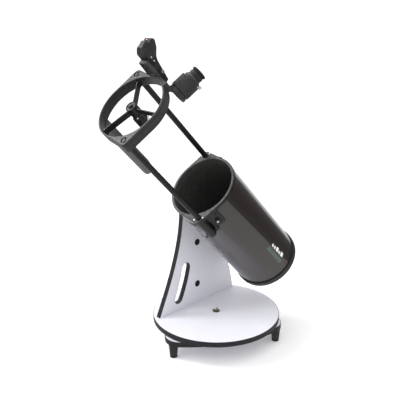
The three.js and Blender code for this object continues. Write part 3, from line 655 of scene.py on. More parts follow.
def build_ground():
    outline = ground_outline()
    board = prism(offset(outline, EDGING + SEAM), GROUND_BOTTOM, GROUND_TOP, 0.25, 2)
    board.cut(rod(PIVOT_HOLE, 0, FAR, 0))
    stand_for(board, "ground_board", STAND, "laminate")
    strip = band(outline, EDGING, GROUND_BOTTOM - 0.1, GROUND_TOP + 0.1, 0.5)
    stand_for(strip, "ground_edging", STAND, "edging")


def build_feet():
    top = STAND.high("foot_1").z
    wide = STAND.high("foot_1").x - STAND.middle("foot_1").x
    for i in (1, 2, 3):
        centre = STAND.middle(f"foot_{i}")
        foot = turning([(0, 0), (wide - 4.2, 0, 0.8), (wide - 3.1, 1.2, 0.8),
            (wide - 3.0, 4.4, 0.6), (wide - 4.0, 4.9, 0.3), (wide - 4.0, 5.9, 0.3),
            (wide - 2.8, 6.6, 0.8), (wide - 0.6, top - 8.5, 2.0), (wide, top - 5.0, 1.5),
            (wide, top, 0.6), (0, top)], 0.6, 56)
        foot.cut(*[rod(1.4, 7, 60, 0, 16).moved(*polar(wide - 0.2, 60 * k)) for k in range(6)])
        foot.moved(centre.x, centre.y)
        foot.painted(1, lambda middle, normal: middle.z < 4.6)
        stand_for(foot, f"foot_{i}", STAND, ["foot", "rubber"])


def build_turntable():
    inner = DISC_RADIUS - EDGING - SEAM
    disc = turning([(PIVOT_HOLE, DISC_BOTTOM), (inner, DISC_BOTTOM), (inner, DISC_TOP),
        (PIVOT_HOLE, DISC_TOP)], 0.25, 144)
    stand_for(disc, "turntable_disc", STAND, "laminate")
    strip = tube_ring(DISC_RADIUS - EDGING, DISC_RADIUS, DISC_BOTTOM - 0.1, DISC_TOP + 0.1, 0.5,
        180)
    stand_for(strip, "turntable_edging", STAND, "edging")
    for i in (1, 2, 3):
        low = STAND.low(f"azimuth_pad_{i}")
        high = STAND.high(f"azimuth_pad_{i}")
        middle = STAND.middle(f"azimuth_pad_{i}")
        pad = rod((high.x - low.x) / 2, low.z, high.z, 0.5, 32).moved(middle.x, middle.y)
        stand_for(pad, f"azimuth_pad_{i}", STAND, "pad")


def build_pivot():
    head = STAND.high("azimuth_bolt").z
    washer_top = DISC_TOP + 0.3 + 1.6
    wide = STAND.radii("azimuth_bolt")[1]
    washer = turning([(5.2, DISC_TOP + 0.05), (wide, DISC_TOP + 0.05), (wide, washer_top),
        (5.2, washer_top)], 0.5, 56)
    bolt = turning([(0, STAND.low("azimuth_bolt").z), (4.4, STAND.low("azimuth_bolt").z),
        (5.0, STAND.low("azimuth_bolt").z + 1), (5.0, washer_top + 0.2), (0, washer_top + 0.2)],
        0.3, 40)
    nut = hexagon(1.42 * wide, washer_top, head - 2.2, 0.9)
    stud = turning([(0, head - 4), (4.2, head - 4), (4.2, head - 0.9), (3.2, head), (0, head)],
        0.3, 32)
    bolt.add(washer, nut, stud)
    # Upward faces of the nut and stud take the bright steel as a painted highlight; the other faces
    # keep the darker steel, which is painted shade.
    bolt.painted(1, lambda middle, normal: middle.z > head - 2.3 and normal.z > 0.5)
    stand_for(bolt, "azimuth_bolt", STAND, ["shaded_steel", "steel"])
    low = STAND.low("azimuth_nut").z
    nut = hexagon(18, low, STAND.high("azimuth_nut").z, 1.2).cut(rod(5.2, 0, FAR, 0))
    stand_for(nut, "azimuth_nut", STAND, "steel")


# ---------------------------------------------------------------- arm

ARM_INNER = STAND.high("arm_board").x
ARM_OUTER = STAND.low("arm_board").x
ARM_BOTTOM = STAND.low("arm_board").z
ARM_FRONT = STAND.low("arm_edging").y
ARM_BACK = STAND.high("arm_edging").y
ALTITUDE_Z = (STAND.inverse @ pivot).z / MM
ARM_TOP_RADIUS = STAND.high("arm_edging").z - ALTITUDE_Z
SLOT_WIDTH = 33.4
PLUG_HOLE = 9.1
AXLE_HOLE = 7.0
SLOT_LINE = [(-73.5, 112.0), (-51.0, 160.0), (-43.0, 200.0)]


def arm_edge():
    """The arm's edge in y and z, from its back foot over the top to its front foot."""
    back = curve([(ARM_BACK, ARM_BOTTOM), (ARM_BACK - 20, ARM_BOTTOM + 150),
        (ARM_TOP_RADIUS, ALTITUDE_Z - 90), (ARM_TOP_RADIUS, ALTITUDE_Z)], 28)
    top = arc((0, ALTITUDE_Z), ARM_TOP_RADIUS, 0, 180, 36)
    front = curve([(-ARM_TOP_RADIUS, ALTITUDE_Z), (-ARM_TOP_RADIUS, ALTITUDE_Z - 117),
        (ARM_FRONT + 34, ARM_BOTTOM + 75), (ARM_FRONT, ARM_BOTTOM)], 28)
    return back + top[1:-1] + front


def strip_inside(edge, distance):
    """An open edge moved inwards, with its ends kept at their height."""
    inside = offset(edge, distance)
    inside[0] = (edge[0][0] - distance, edge[0][1])
    inside[-1] = (edge[-1][0] + distance, edge[-1][1])
    return inside


def slot_outline(inset=0.0):
    middle = curve(SLOT_LINE, 24)
    half = SLOT_WIDTH / 2 - inset
    right = []
    left = []
    for i, here in enumerate(middle):
        before = Vector(middle[max(i - 1, 0)])
        along = (Vector(middle[min(i + 1, len(middle) - 1)]) - before).normalized()
        right.append((here[0] + along.y * half, here[1] - along.x * half))
        left.append((here[0] - along.y * half, here[1] + along.x * half))
    end = bearing((right[-1][0] - middle[-1][0], right[-1][1] - middle[-1][1]))
    start = bearing((left[0][0] - middle[0][0], left[0][1] - middle[0][1]))
    cap_end = arc(middle[-1], half, end, end + 180, 14)[1:-1]
    cap_start = arc(middle[0], half, start, start + 180, 14)[1:-1]
    return right + cap_end + left[::-1] + cap_start


def build_arm():
    edge = arm_edge()
    inside = strip_inside(edge, EDGING + SEAM)
    board = prism(inside, ARM_OUTER, ARM_INNER, 0.25, 2).sideways()
    holes = [prism(slot_outline(), ARM_OUTER - 5, ARM_INNER + 5, 0).sideways()]
    plugs = ("arm_plug_upper", "arm_plug_lower")
    for name in plugs:
        middle = STAND.middle(name)
        hole = rod(PLUG_HOLE, ARM_OUTER - 5, ARM_INNER + 5, 0, 40)
        holes.append(hole.turned("Y", 90).moved(0, middle.y, middle.z))
    axle_hole = rod(AXLE_HOLE, ARM_OUTER - 5, ARM_INNER + 5, 0, 40)
    holes.append(axle_hole.turned("Y", 90).moved(0, 0, ALTITUDE_Z))
    board.cut(*holes)
    stand_for(board, "arm_board", STAND, "laminate")

    strip = edge + strip_inside(edge, EDGING)[::-1]
    black = prism(strip, ARM_OUTER - 0.1, ARM_INNER + 0.1, 0.35).sideways()
    stand_for(black, "arm_edging", STAND, "edging")
    lining = band(slot_outline(SEAM), EDGING, ARM_OUTER - 0.1, ARM_INNER + 0.1, 0.35).sideways()
    stand_for(lining, "slot_edging", STAND, "edging")

    for name in plugs:
        middle = STAND.middle(name)
        low = STAND.low(name).x
        high = STAND.high(name).x
        plug = turning([(0, low + 1.0), (5.0, low + 1.0, 0.6), (6.0, low, 0.6), (8.8, low, 0.8),
            (8.8, ARM_INNER + 0.1, 0.1), (9.8, ARM_INNER + 0.1, 0.3), (9.8, high - 0.4, 0.8),
            (6.4, high, 0.5), (5.4, high - 1.3, 0.6), (0, high - 1.5)], 0.4, 48)
        plug.turned("Y", 90).moved(0, middle.y, middle.z)
        stand_for(plug, name, STAND, "rubber")


# ---------------------------------------------------------------- altitude bearing

BAR_LOW = TUBE.low("dovetail_bar")
BAR_HIGH = TUBE.high("dovetail_bar")
AXLE_END = TUBE.low("altitude_saddle").x
SADDLE_INNER = TUBE.high("altitude_saddle").x
JAW_HALF_WIDTH = 34.0
JAW_HALF_HEIGHT = 40.0
TUBE_INNER, TUBE_RADIUS = TUBE.radii("lower_tube")
HUB_X = TUBE.high("altitude_washer").x + 0.3
DOVETAIL_SLOPE = 5.0
BAR_THICKNESS = 11.0


def along_x(solid):
    """Turns a solid built along z so that it lies along x."""
    return solid.turned("Y", 90)


def dovetail(half_width, start, end, length, edge=0.6):
    corners = [(start, -half_width), (end, -half_width + DOVETAIL_SLOPE),
        (end, half_width - DOVETAIL_SLOPE), (start, half_width)]
    return prism(rounded(corners, edge), -length / 2, length / 2, edge)


def star_knob(radius, lobes, bottom, top, depth=1.8, edge=2.0):
    outline = [polar(radius - depth * (0.5 - 0.5 * math.cos(math.radians(lobes * a))),
        a) for a in range(0, 360, 3)]
    return prism(outline, bottom, top, edge, 5)


def build_altitude_bearing():
    low = TUBE.low("altitude_washer").x
    washer = tube_ring(6.5, 36, low, HUB_X - 0.3, 0.5, 72)
    stand_for(along_x(washer), "altitude_washer", TUBE, "pad")

    hub = along_x(turning([(0, HUB_X), (38, HUB_X, 0.6), (38, HUB_X + 6.5, 2.0),
        (33, HUB_X + 8, 1.0), (0, HUB_X + 8)], 0.6, 96))
    jaws = block((HUB_X + 4, -JAW_HALF_WIDTH, -JAW_HALF_HEIGHT),
        (SADDLE_INNER, JAW_HALF_WIDTH, JAW_HALF_HEIGHT), 1.5, 3)
    channel = dovetail(BAR_HIGH.y + 0.6, BAR_LOW.x - 0.3, BAR_LOW.x + BAR_THICKNESS, 120, 0)
    clamp_x = TUBE.middle("saddle_clamp_knob").x
    clamp_hole = rod(3.6, 20, 45, 0, 24).turned("X", -90).moved(clamp_x)
    jaws.cut(channel, clamp_hole)
    axle = along_x(turning([(0, AXLE_END), (4.6, AXLE_END, 0.6), (6, AXLE_END + 1.6, 0.4),
        (6, HUB_X + 1), (0, HUB_X + 1)], 0.4, 40))
    hub.add(axle, jaws)
    stand_for(hub, "altitude_saddle", TUBE, "black")

    outer = TUBE.low("altitude_knob").x
    inner = TUBE.high("altitude_knob").x
    knob = star_knob(TUBE.high("altitude_knob").y, 9, outer, outer + 16)
    collar = turning([(0, outer + 12), (13, outer + 15.5, 1), (11, outer + 18, 1), (11, inner),
        (0, inner)], 0.5, 56)
    knob.add(collar).cut(rod(6.2, outer + 1.5, inner + 5, 0, 40))
    dish = turning([(6.2, outer - 1), (11.5, outer - 1), (9.5, outer + 1.6), (6.2, outer + 1.6)],
        0.0, 48)
    knob.cut(dish)
    stand_for(along_x(knob), "altitude_knob", TUBE, "black")

    low = TUBE.low("saddle_clamp_knob").y
    high = TUBE.high("saddle_clamp_knob").y
    clamp = star_knob(10, 6, high - 14, high, 1.6, 1.6)
    clamp.add(rod(5, high - 19.5, high - 12, 0.6, 32), rod(3.2, low, high - 13, 0.4, 24))
    clamp.cut(rod(4.5, high - 1.2, high + 2, 0.3, 24))
    clamp.turned("X", -90).moved(clamp_x)
    stand_for(clamp, "saddle_clamp_knob", TUBE, "black")

    length = BAR_HIGH.z - BAR_LOW.z
    bar = dovetail(BAR_HIGH.y, BAR_LOW.x, BAR_LOW.x + BAR_THICKNESS, length)
    shoes = []
    for side in (-1, 1):
        middle = side * (length - 34) / 2
        shoes.append(block((BAR_LOW.x + 6, -14, middle - 14), (-80, 14, middle + 14), 1.2, 3))
    bar.add(*shoes)
    bar.cut(rod(TUBE_RADIUS + 0.05, -FAR, FAR, 0, 160))
    stand_for(bar, "dovetail_bar", TUBE, "black")


# ---------------------------------------------------------------- mouth flange and lower tube

MOUTH_Z = TUBE.high("mouth_flange").z
MOUTH_RADIUS = 85.8
FLANGE_DEPTH = 10.0
FLANGE_RADIUS = TUBE_RADIUS + 1.2
GUIDE_BOTTOM = TUBE.low("mouth_flange").z
STRUT_ANGLES = [TUBE.direction("strut_lower"), TUBE.direction("strut_upper")]
STRUT_CIRCLE = math.hypot(*TUBE.middle("strut_lower").xy)
STRUT_RADIUS = (TUBE.high("strut_lower").x - TUBE.low("strut_lower").x) / 2
LOCK_ANGLES = [TUBE.direction("strut_lock_lower"), TUBE.direction("strut_lock_upper")]
LOCK_Z = TUBE.middle("strut_lock_lower").z
CORNER_CIRCLE = 102.0
CORNER_RADIUS = 12.0


def cornered(radius, corner_radius=CORNER_RADIUS):
    """A circle drawn out to two opposite corners, each of which holds a strut."""
    lean = math.degrees(math.acos((radius - corner_radius) / CORNER_CIRCLE))
    outline = []
    for corner in STRUT_ANGLES:
        centre = polar(CORNER_CIRCLE, corner)
        outline += arc(centre, corner_radius, corner - lean, corner + lean, 16)
        outline += arc((0, 0), radius, corner + lean, corner + 180 - lean, 64)
    return outline


def strut_holes(bottom, top):
    return [rod(STRUT_RADIUS + 0.3, bottom, top, 0, 40).moved(*polar(STRUT_CIRCLE,
        angle)) for angle in STRUT_ANGLES]


def panel(direction, before, after, bottom, top, outer, corner=5.0, edge=1.6):
    """A pad on the tube's outside, between two directions round it and two heights."""
    arm = math.radians(1) * TUBE_RADIUS
    outline = [
        (before * arm, bottom), (after * arm, bottom), (after * arm, top), (before * arm, top)
    ]
    flat = prism(rounded(outline, corner, 6), TUBE_RADIUS - 4, outer, edge, 4)
    return flat.wrapped(TUBE_RADIUS, direction)


def build_flange():
    front = prism(cornered(FLANGE_RADIUS), MOUTH_Z - FLANGE_DEPTH, MOUTH_Z, 1.6, 5)
    additions = []
    cuts = [rod(MOUTH_RADIUS, 0, MOUTH_Z + 5, 0, 160), rod(TUBE_INNER, 0, MOUTH_Z - FLANGE_DEPTH,
        0, 160), tube_ring(TUBE_INNER - 0.3, TUBE_RADIUS + 0.05, 0, MOUTH_Z - FLANGE_DEPTH, 0,
        160), *strut_holes(0, MOUTH_Z + 5)]
    for strut, lock in zip(STRUT_ANGLES, LOCK_ANGLES):
        boss = rod(CORNER_RADIUS, GUIDE_BOTTOM, MOUTH_Z - 1, 2.0, 56)
        additions.append(boss.moved(*polar(CORNER_CIRCLE, strut)))
        additions.append(panel(strut, -13, 13, GUIDE_BOTTOM, MOUTH_Z - 1, TUBE_RADIUS + 6))
        additions.append(panel(lock, -12, 10, LOCK_Z - 20, MOUTH_Z - 1, TUBE_RADIUS + 4.5))
        side = 1 if lock > strut else -1
        # A deep notch between the strut's guide and its lock.
        notch = [(-5.5, -34), (5.0, -12), (5.0, 6), (-5.5, 14)]
        notch = [(side * x, y) for x, y in notch]
        if side < 0:
            notch = notch[::-1]
        pocket = prism(rounded(notch, 1.5), TUBE_RADIUS + 1.4, TUBE_RADIUS + 12, 0)
        cuts.append(pocket.moved(0, LOCK_Z - 2).wrapped(TUBE_RADIUS, strut + side * 7))
        cuts.append(rod(2.2, TUBE_RADIUS + 1, FAR, 0, 24).outwards(lock + side * 4.5, LOCK_Z + 24))
        dimple = turning([(0, 0), (2.2, 0), (3.0, 1.0), (3.0, 9), (0, 9)], 0, 24)
        cuts.append(dimple.moved(z=TUBE_RADIUS + 3.6).outwards(lock + side * 4.5, LOCK_Z + 24))
    bead = turning([(MOUTH_RADIUS - 0.01, MOUTH_Z - 1.8), (MOUTH_RADIUS + 2.4, MOUTH_Z - 1.8),
        (MOUTH_RADIUS + 2.4, MOUTH_Z + 0.0), (MOUTH_RADIUS + 0.9, MOUTH_Z + 0.0)], 0.3, 160)
    lip = turning([(MOUTH_RADIUS, MOUTH_Z - 24), (TUBE_INNER - 0.35, MOUTH_Z - 24),
        (TUBE_INNER - 0.35, MOUTH_Z - 3), (MOUTH_RADIUS, MOUTH_Z - 3)], 0.5, 160)
    groove = tube_ring(
        FLANGE_RADIUS - 0.7, FLANGE_RADIUS + 4, MOUTH_Z - 6.4, MOUTH_Z - 5.6, 0.2, 160
    )
    for angle in STRUT_ANGLES:
        keep = rod(CORNER_RADIUS + 12, MOUTH_Z - 9, MOUTH_Z, 0, 24)
        groove.cut(keep.moved(*polar(CORNER_CIRCLE, angle)))
    front.add(*additions).cut(*cuts).add(lip, bead).cut(groove)
    front.painted(1, lambda middle, normal: math.hypot(middle.x, middle.y) < MOUTH_RADIUS + 0.05)
    stand_for(front, "mouth_flange", TUBE, ["black", "inside"])
    build_flange_screws()


def build_flange_screws():
    count = 0
    for strut in STRUT_ANGLES:
        for side in (-1, 1):
            count += 1
            screw = pan_screw(2.6, 1.7).moved(*polar(103.4, strut + side * 6.6), MOUTH_Z + 0.05)
            place(screw, f"flange_screw_{count}", TUBE, "tube", "steel")


def build_locks():
    for name, angle in zip(("strut_lock_lower", "strut_lock_upper"), LOCK_ANGLES):
        seat = TUBE_RADIUS + 4.8
        end = TUBE_RADIUS + 11.7
        outline = scalloped(6.5, 0.7, 12, 6)
        knob = prism(outline, seat, end - 1.2, 0.8, 3)
        knob.add(rod(2.7, TUBE_RADIUS + 0.6, seat + 1, 0.2, 24))
        knob.cut(rod(3.9, end - 2.6, end + 3, 0, 32))
        cap = turning([(0, end - 4), (3.6, end - 4), (3.6, end - 1.0, 0.8), (0, end)], 0.5, 32)
        stand_for(knob.outwards(angle, LOCK_Z), name, TUBE, "foot")
        place(cap.outwards(angle, LOCK_Z), name + "_stud", TUBE, name, "steel")


def build_lower_tube():
    low, high = TUBE.heights("lower_tube")
    wall = tube_ring(TUBE_INNER, TUBE_RADIUS, low, high, 0.3, 192)
    seam = block((-0.35, low - 5, TUBE_RADIUS - 0.25), (0.35, high + 5, TUBE_RADIUS + 3), 0.0)
    wall.cut(seam.wrapped(TUBE_RADIUS, SEAM_DIRECTION))
    halfway = (TUBE_INNER + TUBE_RADIUS) / 2
    wall.painted(1, lambda middle, normal: math.hypot(middle.x, middle.y) < halfway)
    stand_for(wall, "lower_tube", TUBE, ["paint", "inside"])

    # Rivets through the tube into the cell.
    for count, angle in enumerate((-4, 56, 116, 236, 296), 1):
        rivet = pan_screw(2.1, 0.9, False).moved(z=TUBE_RADIUS).outwards(angle, low + 29)
        place(rivet, f"cell_rivet_{count}", TUBE, "tube", "dark_steel")


def build_label():
    """A printed mark of plain bars: a row of white ones and a row of green frames."""
    height = TUBE_RADIUS + 0.05
    arm = math.radians(1) * TUBE_RADIUS
    bars = [(-181, -165), (-163, -153), (-151, -137), (-135, -124), (-122, -112)]
    marks = None
    for i, (start, end) in enumerate(bars):
        lean = 2.5
        top = (5.6 if i in (0, 2) else 3.4) * arm
        outline = [(-1.4 * arm, start), (-1.4 * arm, end - lean), (top, end), (top, start + lean)]
        bar = prism(rounded(outline[::-1], 1.6, 4), height, height + 0.35, 0.1, 2)
        marks = marks.add(bar) if marks else bar
    white = marks.wrapped(TUBE_RADIUS, 0)
    stand_for(white, "tube_label", TUBE, "white_print")
    frames = None
    for i in range(8):
        start = -186 + i * 10.4
        near, far = -11.4 * arm, -5.6 * arm
        outline = [(near, start), (far, start), (far, start + 7.6), (near, start + 7.6)]
        ring = band(rounded(outline, 1.4, 4), 1.5, height, height + 0.3, 0.1)
        frames = frames.add(ring) if frames else ring
    place(frames.wrapped(TUBE_RADIUS, 0), "tube_label_frames", TUBE, "tube", "green_print")


# ---------------------------------------------------------------- primary mirror and its cell

SEAM_DIRECTION = -44.5
CELL_BOTTOM = TUBE.low("mirror_cell").z
CELL_RADIUS = TUBE.radii("mirror_cell")[1]
CELL_RING = 18.0
CELL_PLATE_Z = CELL_BOTTOM + 10
CELL_PLATE = 4.0
CARRIER_BOTTOM = TUBE.low("mirror_carrier").z
MIRROR_BOTTOM = TUBE.low("primary_mirror").z
MIRROR_TOP = TUBE.high("primary_mirror").z
MIRROR_RADIUS = TUBE.radii("primary_mirror")[1]
FOCAL_LENGTH = 750.0
COLLIMATION = [TUBE.middle(f"collimation_knob_{i}") for i in (1, 2, 3)]


def build_cell():
    inner = TUBE_INNER - 0.35
    rim = turning([(inner - 3.5, CELL_BOTTOM, 1.0), (CELL_RADIUS - 0.8, CELL_BOTTOM, 2.6),
        (CELL_RADIUS, CELL_BOTTOM + 6, 3.0), (CELL_RADIUS, CELL_BOTTOM + CELL_RING, 1.2),
        (TUBE_RADIUS + 0.5, CELL_BOTTOM + CELL_RING, 0.2),
        (TUBE_RADIUS + 0.5, CELL_BOTTOM + 3, 0.2), (inner, CELL_BOTTOM + 3, 0.2),
        (inner, CELL_PLATE_Z + CELL_PLATE, 0.5), (inner - 3.5, CELL_PLATE_Z + CELL_PLATE, 0.5)],
        0.5, 192)
    plate = rod(inner - 2, CELL_PLATE_Z, CELL_PLATE_Z + CELL_PLATE, 0.3, 96)
    ribs = []
    holes = []
    for knob in COLLIMATION:
        angle = bearing(knob)
        circle_radius = math.hypot(knob.x, knob.y)
        at = polar(circle_radius, angle)
        holes.append(rod(3, CELL_BOTTOM, CELL_PLATE_Z + 20, 0, 24).moved(*at))
        ribs.append(tube_ring(9.2, 11.4, CELL_PLATE_Z - 4, CELL_PLATE_Z + 1, 0.5, 40).moved(*at))
        for radius, reach in ((15.0, 50.0), (7.0, 76.0)):
            vent = rod(radius, CELL_BOTTOM, CELL_PLATE_Z + 20, 0, 40)
            holes.append(vent.moved(*polar(reach, angle + 60)))
        ring = tube_ring(16.0, 18.4, CELL_PLATE_Z - 3, CELL_PLATE_Z + 1, 0.5, 48)
        ribs.append(ring.moved(*polar(50, angle + 60)))
        # Ribs from the middle to the knob's boss, to the vent, and from the boss to the rim.
        reaches = ((20, circle_radius - 10, 0), (0, 33, 60), (circle_radius + 10, inner - 1, 0))
        for start, end, lean in reaches:
            rib = block((start, -1.3, CELL_PLATE_Z - 3.5), (end, 1.3, CELL_PLATE_Z + 1), 0.5)
            ribs.append(rib.turned("Z", angle + lean))
    ribs.append(tube_ring(18, 20.5, CELL_PLATE_Z - 4, CELL_PLATE_Z + 1, 0.5, 64))
    plate.add(*ribs).cut(*holes)
    rim.add(plate)
    stand_for(rim, "mirror_cell", TUBE, "moulding")
    for i, angle in enumerate((26, 146, 266)):
        screw = pan_screw(2.6, 1.4).moved(z=CELL_RADIUS - 0.2).outwards(angle, CELL_BOTTOM + 11)
        place(screw, f"cell_screw_{i + 1}", TUBE, "tube", "dark_steel")


def build_carrier():
    disc = rod(MIRROR_RADIUS + 5, CARRIER_BOTTOM, MIRROR_BOTTOM - 0.3, 0.8, 96)
    lugs = []
    holes = []
    for knob in COLLIMATION:
        angle = bearing(knob)
        lug = block((MIRROR_RADIUS + 0.3, -8, CARRIER_BOTTOM),
            (MIRROR_RADIUS + 5, 8, MIRROR_TOP + 4), 0.8, 1.2)
        lugs.append(lug.turned("Z", angle + 60))
        holes.append(rod(2.8, CARRIER_BOTTOM - 1, CARRIER_BOTTOM + 7, 0, 24).moved(knob.x, knob.y))
    disc.add(*lugs).cut(*holes)
    stand_for(disc, "mirror_carrier", TUBE, "inside")
    for count, knob in enumerate(COLLIMATION, 1):
        angle = bearing(knob) + 60
        clip = block(
            (MIRROR_RADIUS - 4, -6, MIRROR_TOP + 4.05),
            (MIRROR_RADIUS + 5, 6, MIRROR_TOP + 5.4), 0.4, 1.5
        )
        clip.add(pan_screw(2.4, 1.4).moved(MIRROR_RADIUS + 2, 0, MIRROR_TOP + 5.3))
        clip.turned("Z", angle)
        place(clip, f"mirror_clip_{count}", TUBE, "tube", "rubber", "black")


def build_collimation():
    for i, knob in enumerate(COLLIMATION):
        low, high = TUBE.heights(f"collimation_knob_{i + 1}")
        grip = prism(scalloped(8, 0.8, 16, 6), low, CELL_PLATE_Z - 0.4, 0.8, 3)
        grip.cut(turning([(0, low - 1), (5, low - 1), (3.6, low + 1.4), (0, low + 1.4)], 0, 32))
        grip.add(rod(2.5, low + 2, high, 0.3, 24))
        grip.moved(knob.x, knob.y)
        stand_for(grip, f"collimation_knob_{i + 1}", TUBE, "foot")
        name = f"collimation_spring_{i + 1}"
        bottom = TUBE.low(name).z + 0.8
        top = TUBE.high(name).z - 0.8
        turns = 4
        path = []
        for k in range(turns * 20 + 1):
            share = k / (turns * 20)
            path.append((*polar(5, 360 * turns * share), bottom + (top - bottom) * share))
        stand_for(sweep(path, 0.75).moved(knob.x, knob.y), name, TUBE, "steel")


def build_primary():
    profile = [
        (0, MIRROR_BOTTOM), (MIRROR_RADIUS - 0.8, MIRROR_BOTTOM),
        (MIRROR_RADIUS, MIRROR_BOTTOM + 0.8)
    ]
    profile += [(MIRROR_RADIUS, MIRROR_TOP - 0.7), (MIRROR_RADIUS - 0.7, MIRROR_TOP)]
    rings = 14
    for i in range(rings - 1, -1, -1):
        radius = (MIRROR_RADIUS - 0.7) * i / rings
        depth = ((MIRROR_RADIUS - 0.7) ** 2 - radius**2) / (4 * FOCAL_LENGTH)
        profile.append((radius, MIRROR_TOP - depth))
    glass = lathe(profile, 128)
    glass.painted(1, lambda middle, normal: normal.z > 0.9)
    stand_for(glass, "primary_mirror", TUBE, ["ground_glass", "mirror"])
    dip = (MIRROR_RADIUS - 0.7) ** 2 / (4 * FOCAL_LENGTH)
    spot = tube_ring(2.2, 4.2, MIRROR_TOP - dip + 0.01, MIRROR_TOP - dip + 0.12, 0.03, 32)
    place(spot, "mirror_centre_mark", TUBE, "tube", "inside")


# ---------------------------------------------------------------- struts and upper cage

CAGE_FRONT = TUBE.high("cage_ring").z
CAGE_BACK = TUBE.low("cage_ring").z
CAGE_BORE = TUBE.radii("cage_ring")[0]
CAGE_RADIUS = 89.3
SECONDARY_RADIUS = 19.0
SECONDARY_HOLDER = 16.5  # its radius
VANE_ANGLES = (0, 120, 240)
HUB_RADIUS = 13.8
HUB_BACK = TUBE.low("spider").z
VANE_BOTTOM = CAGE_BACK + 5
VANE_TOP = CAGE_BACK + 21


def build_struts():
    for name in ("strut_lower", "strut_upper"):
        low, high = TUBE.heights(name)
        middle = TUBE.middle(name)
        strut = turning([(0, low), (STRUT_RADIUS - 1.4, low, 0.3),
            (STRUT_RADIUS - 1.4, low + 3, 0.2), (STRUT_RADIUS, low + 3, 0.5),
            (STRUT_RADIUS, high, 0.5), (0, high)], 0.4, 48)
        stand_for(strut.moved(middle.x, middle.y), name, TUBE, "strut")


def build_cage_ring():
    ring = prism(cornered(CAGE_RADIUS), CAGE_BACK, CAGE_FRONT, 2.2, 6)
    bore = turning([(0, CAGE_BACK - 5), (CAGE_BORE + 3, CAGE_BACK - 5, 0),
        (CAGE_BORE + 1.2, CAGE_BACK, 0), (CAGE_BORE, CAGE_BACK + 1.6, 0.8),
        (CAGE_BORE, CAGE_FRONT - 1.4, 0.8), (CAGE_BORE + 1.1, CAGE_FRONT, 0),
        (CAGE_BORE + 3, CAGE_FRONT + 5, 0), (0, CAGE_FRONT + 5)], 0, 160)
    cuts = [bore, *strut_holes(CAGE_BACK - 5, TUBE.high("strut_lower").z + 0.3)]
    groove = stack(cornered(CAGE_RADIUS), [(0.7, CAGE_FRONT - 7.2), (-3, CAGE_FRONT - 7.8),
        (-3, CAGE_FRONT - 5.8), (0.7, CAGE_FRONT - 6.4)], ring=True)
    cuts.append(groove)
    for angle in STRUT_ANGLES:
        recess = turning([(4.4, CAGE_FRONT - 2.4), (8.0, CAGE_FRONT - 2.4), (8.4, CAGE_FRONT + 4),
            (4.0, CAGE_FRONT + 4)], 0, 48)
        cuts.append(recess.moved(*polar(STRUT_CIRCLE + 0.5, angle)))
    ring.cut(*cuts)
    stand_for(ring, "cage_ring", TUBE, "moulding")
    for i, angle in enumerate(STRUT_ANGLES):
        screw = pan_screw(3.0, 0.9).moved(*polar(STRUT_CIRCLE + 0.5, angle), CAGE_FRONT - 0.9)
        place(screw, f"strut_screw_{i + 1}", TUBE, "cage", "dark_steel")


def build_light_shield():
    """A curved tongue opposite the focuser, with a round end."""
    direction = TUBE.direction("light_shield")
    outer = TUBE.radii("light_shield")[1]
    low, high = TUBE.heights("light_shield")
    half = math.radians(47) * outer
    end = 69
    outline = [(-half, high), *arc_of_ellipse(half, end, low), (half, high)]
    flat = prism(outline, outer - 1.8, outer, 0.5, 3)
    shield = flat.wrapped(outer, direction, 2.0)
    stand_for(shield, "light_shield", TUBE, "shield")


def arc_of_ellipse(half, height, bottom, steps=40):
    points = []
    for i in range(steps + 1):
        angle = math.pi + math.pi * i / steps
        points.append((half * math.cos(angle), bottom + height + height * math.sin(angle)))
    return points


def build_spider():
    hub = turning([(3, HUB_BACK, 0.4), (HUB_RADIUS - 1.5, HUB_BACK, 0.5),
        (HUB_RADIUS, HUB_BACK + 2.5, 1.0), (HUB_RADIUS, CAGE_FRONT - 1.2, 1.0),
        (HUB_RADIUS - 1.0, CAGE_FRONT, 0.6), (11.2, CAGE_FRONT, 0.4),
        (10.6, CAGE_FRONT - 1.6, 0.3), (6.6, CAGE_FRONT - 1.6, 0.3), (6.0, CAGE_FRONT - 0.2, 0.4),
        (3, CAGE_FRONT - 0.2, 0.3)], 0.4, 72)
    vanes = []
    for angle in VANE_ANGLES:
        reach = CAGE_BORE - 0.3
        outline = [(4, -1.5), (reach - 9, -1.5, 6), (reach - 1, -4.2, 0.6), (reach, -4.2, 0.2),
            (reach, 4.2, 0.2), (reach - 1, 4.2, 0.6), (reach - 9, 1.5, 6), (4, 1.5)]
        vane = prism(rounded(outline, 0.3, 5), VANE_BOTTOM, VANE_TOP, 0.8, 4)
        vanes.append(vane.turned("Z", angle))
    hub.add(*vanes)
    screws = []
    for angle in (60, 180, 300):
        at = polar(8.6, angle)
        hub.cut(rod(1.7, CAGE_FRONT - 6, CAGE_FRONT + 3, 0, 20).moved(*at))
        screws.append(at)
    stand_for(hub, "spider", TUBE, "black")
    for i, at in enumerate(screws):
        screw = rod(1.55, CAGE_FRONT - 5, CAGE_FRONT - 0.9, 0.3, 20)
        screw.cut(prism(circle(0.8, 6), CAGE_FRONT - 2.4, CAGE_FRONT + 1, 0))
        place(screw.moved(*at), f"secondary_screw_{i + 1}", TUBE, "cage", "dark_steel")
    low, high = TUBE.heights("secondary_bolt")
    bolt = turning([(0, low), (2.7, low, 0.4), (2.7, CAGE_FRONT + 0.1, 0.1),
        (5, CAGE_FRONT + 0.1, 0.3), (5, high - 0.9, 0.8), (3.6, high, 0.4), (0, high)], 0.3, 40)
    bolt.cut(block((-1.0, -0.5, high - 1.6), (1.0, 0.5, high + 2), 0).turned("Z", 30))
    bolt.cut(block((-3.0, -0.5, high - 1.2), (3.0, 0.5, high + 2), 0))
    stand_for(bolt, "secondary_bolt", TUBE, "dark_steel")


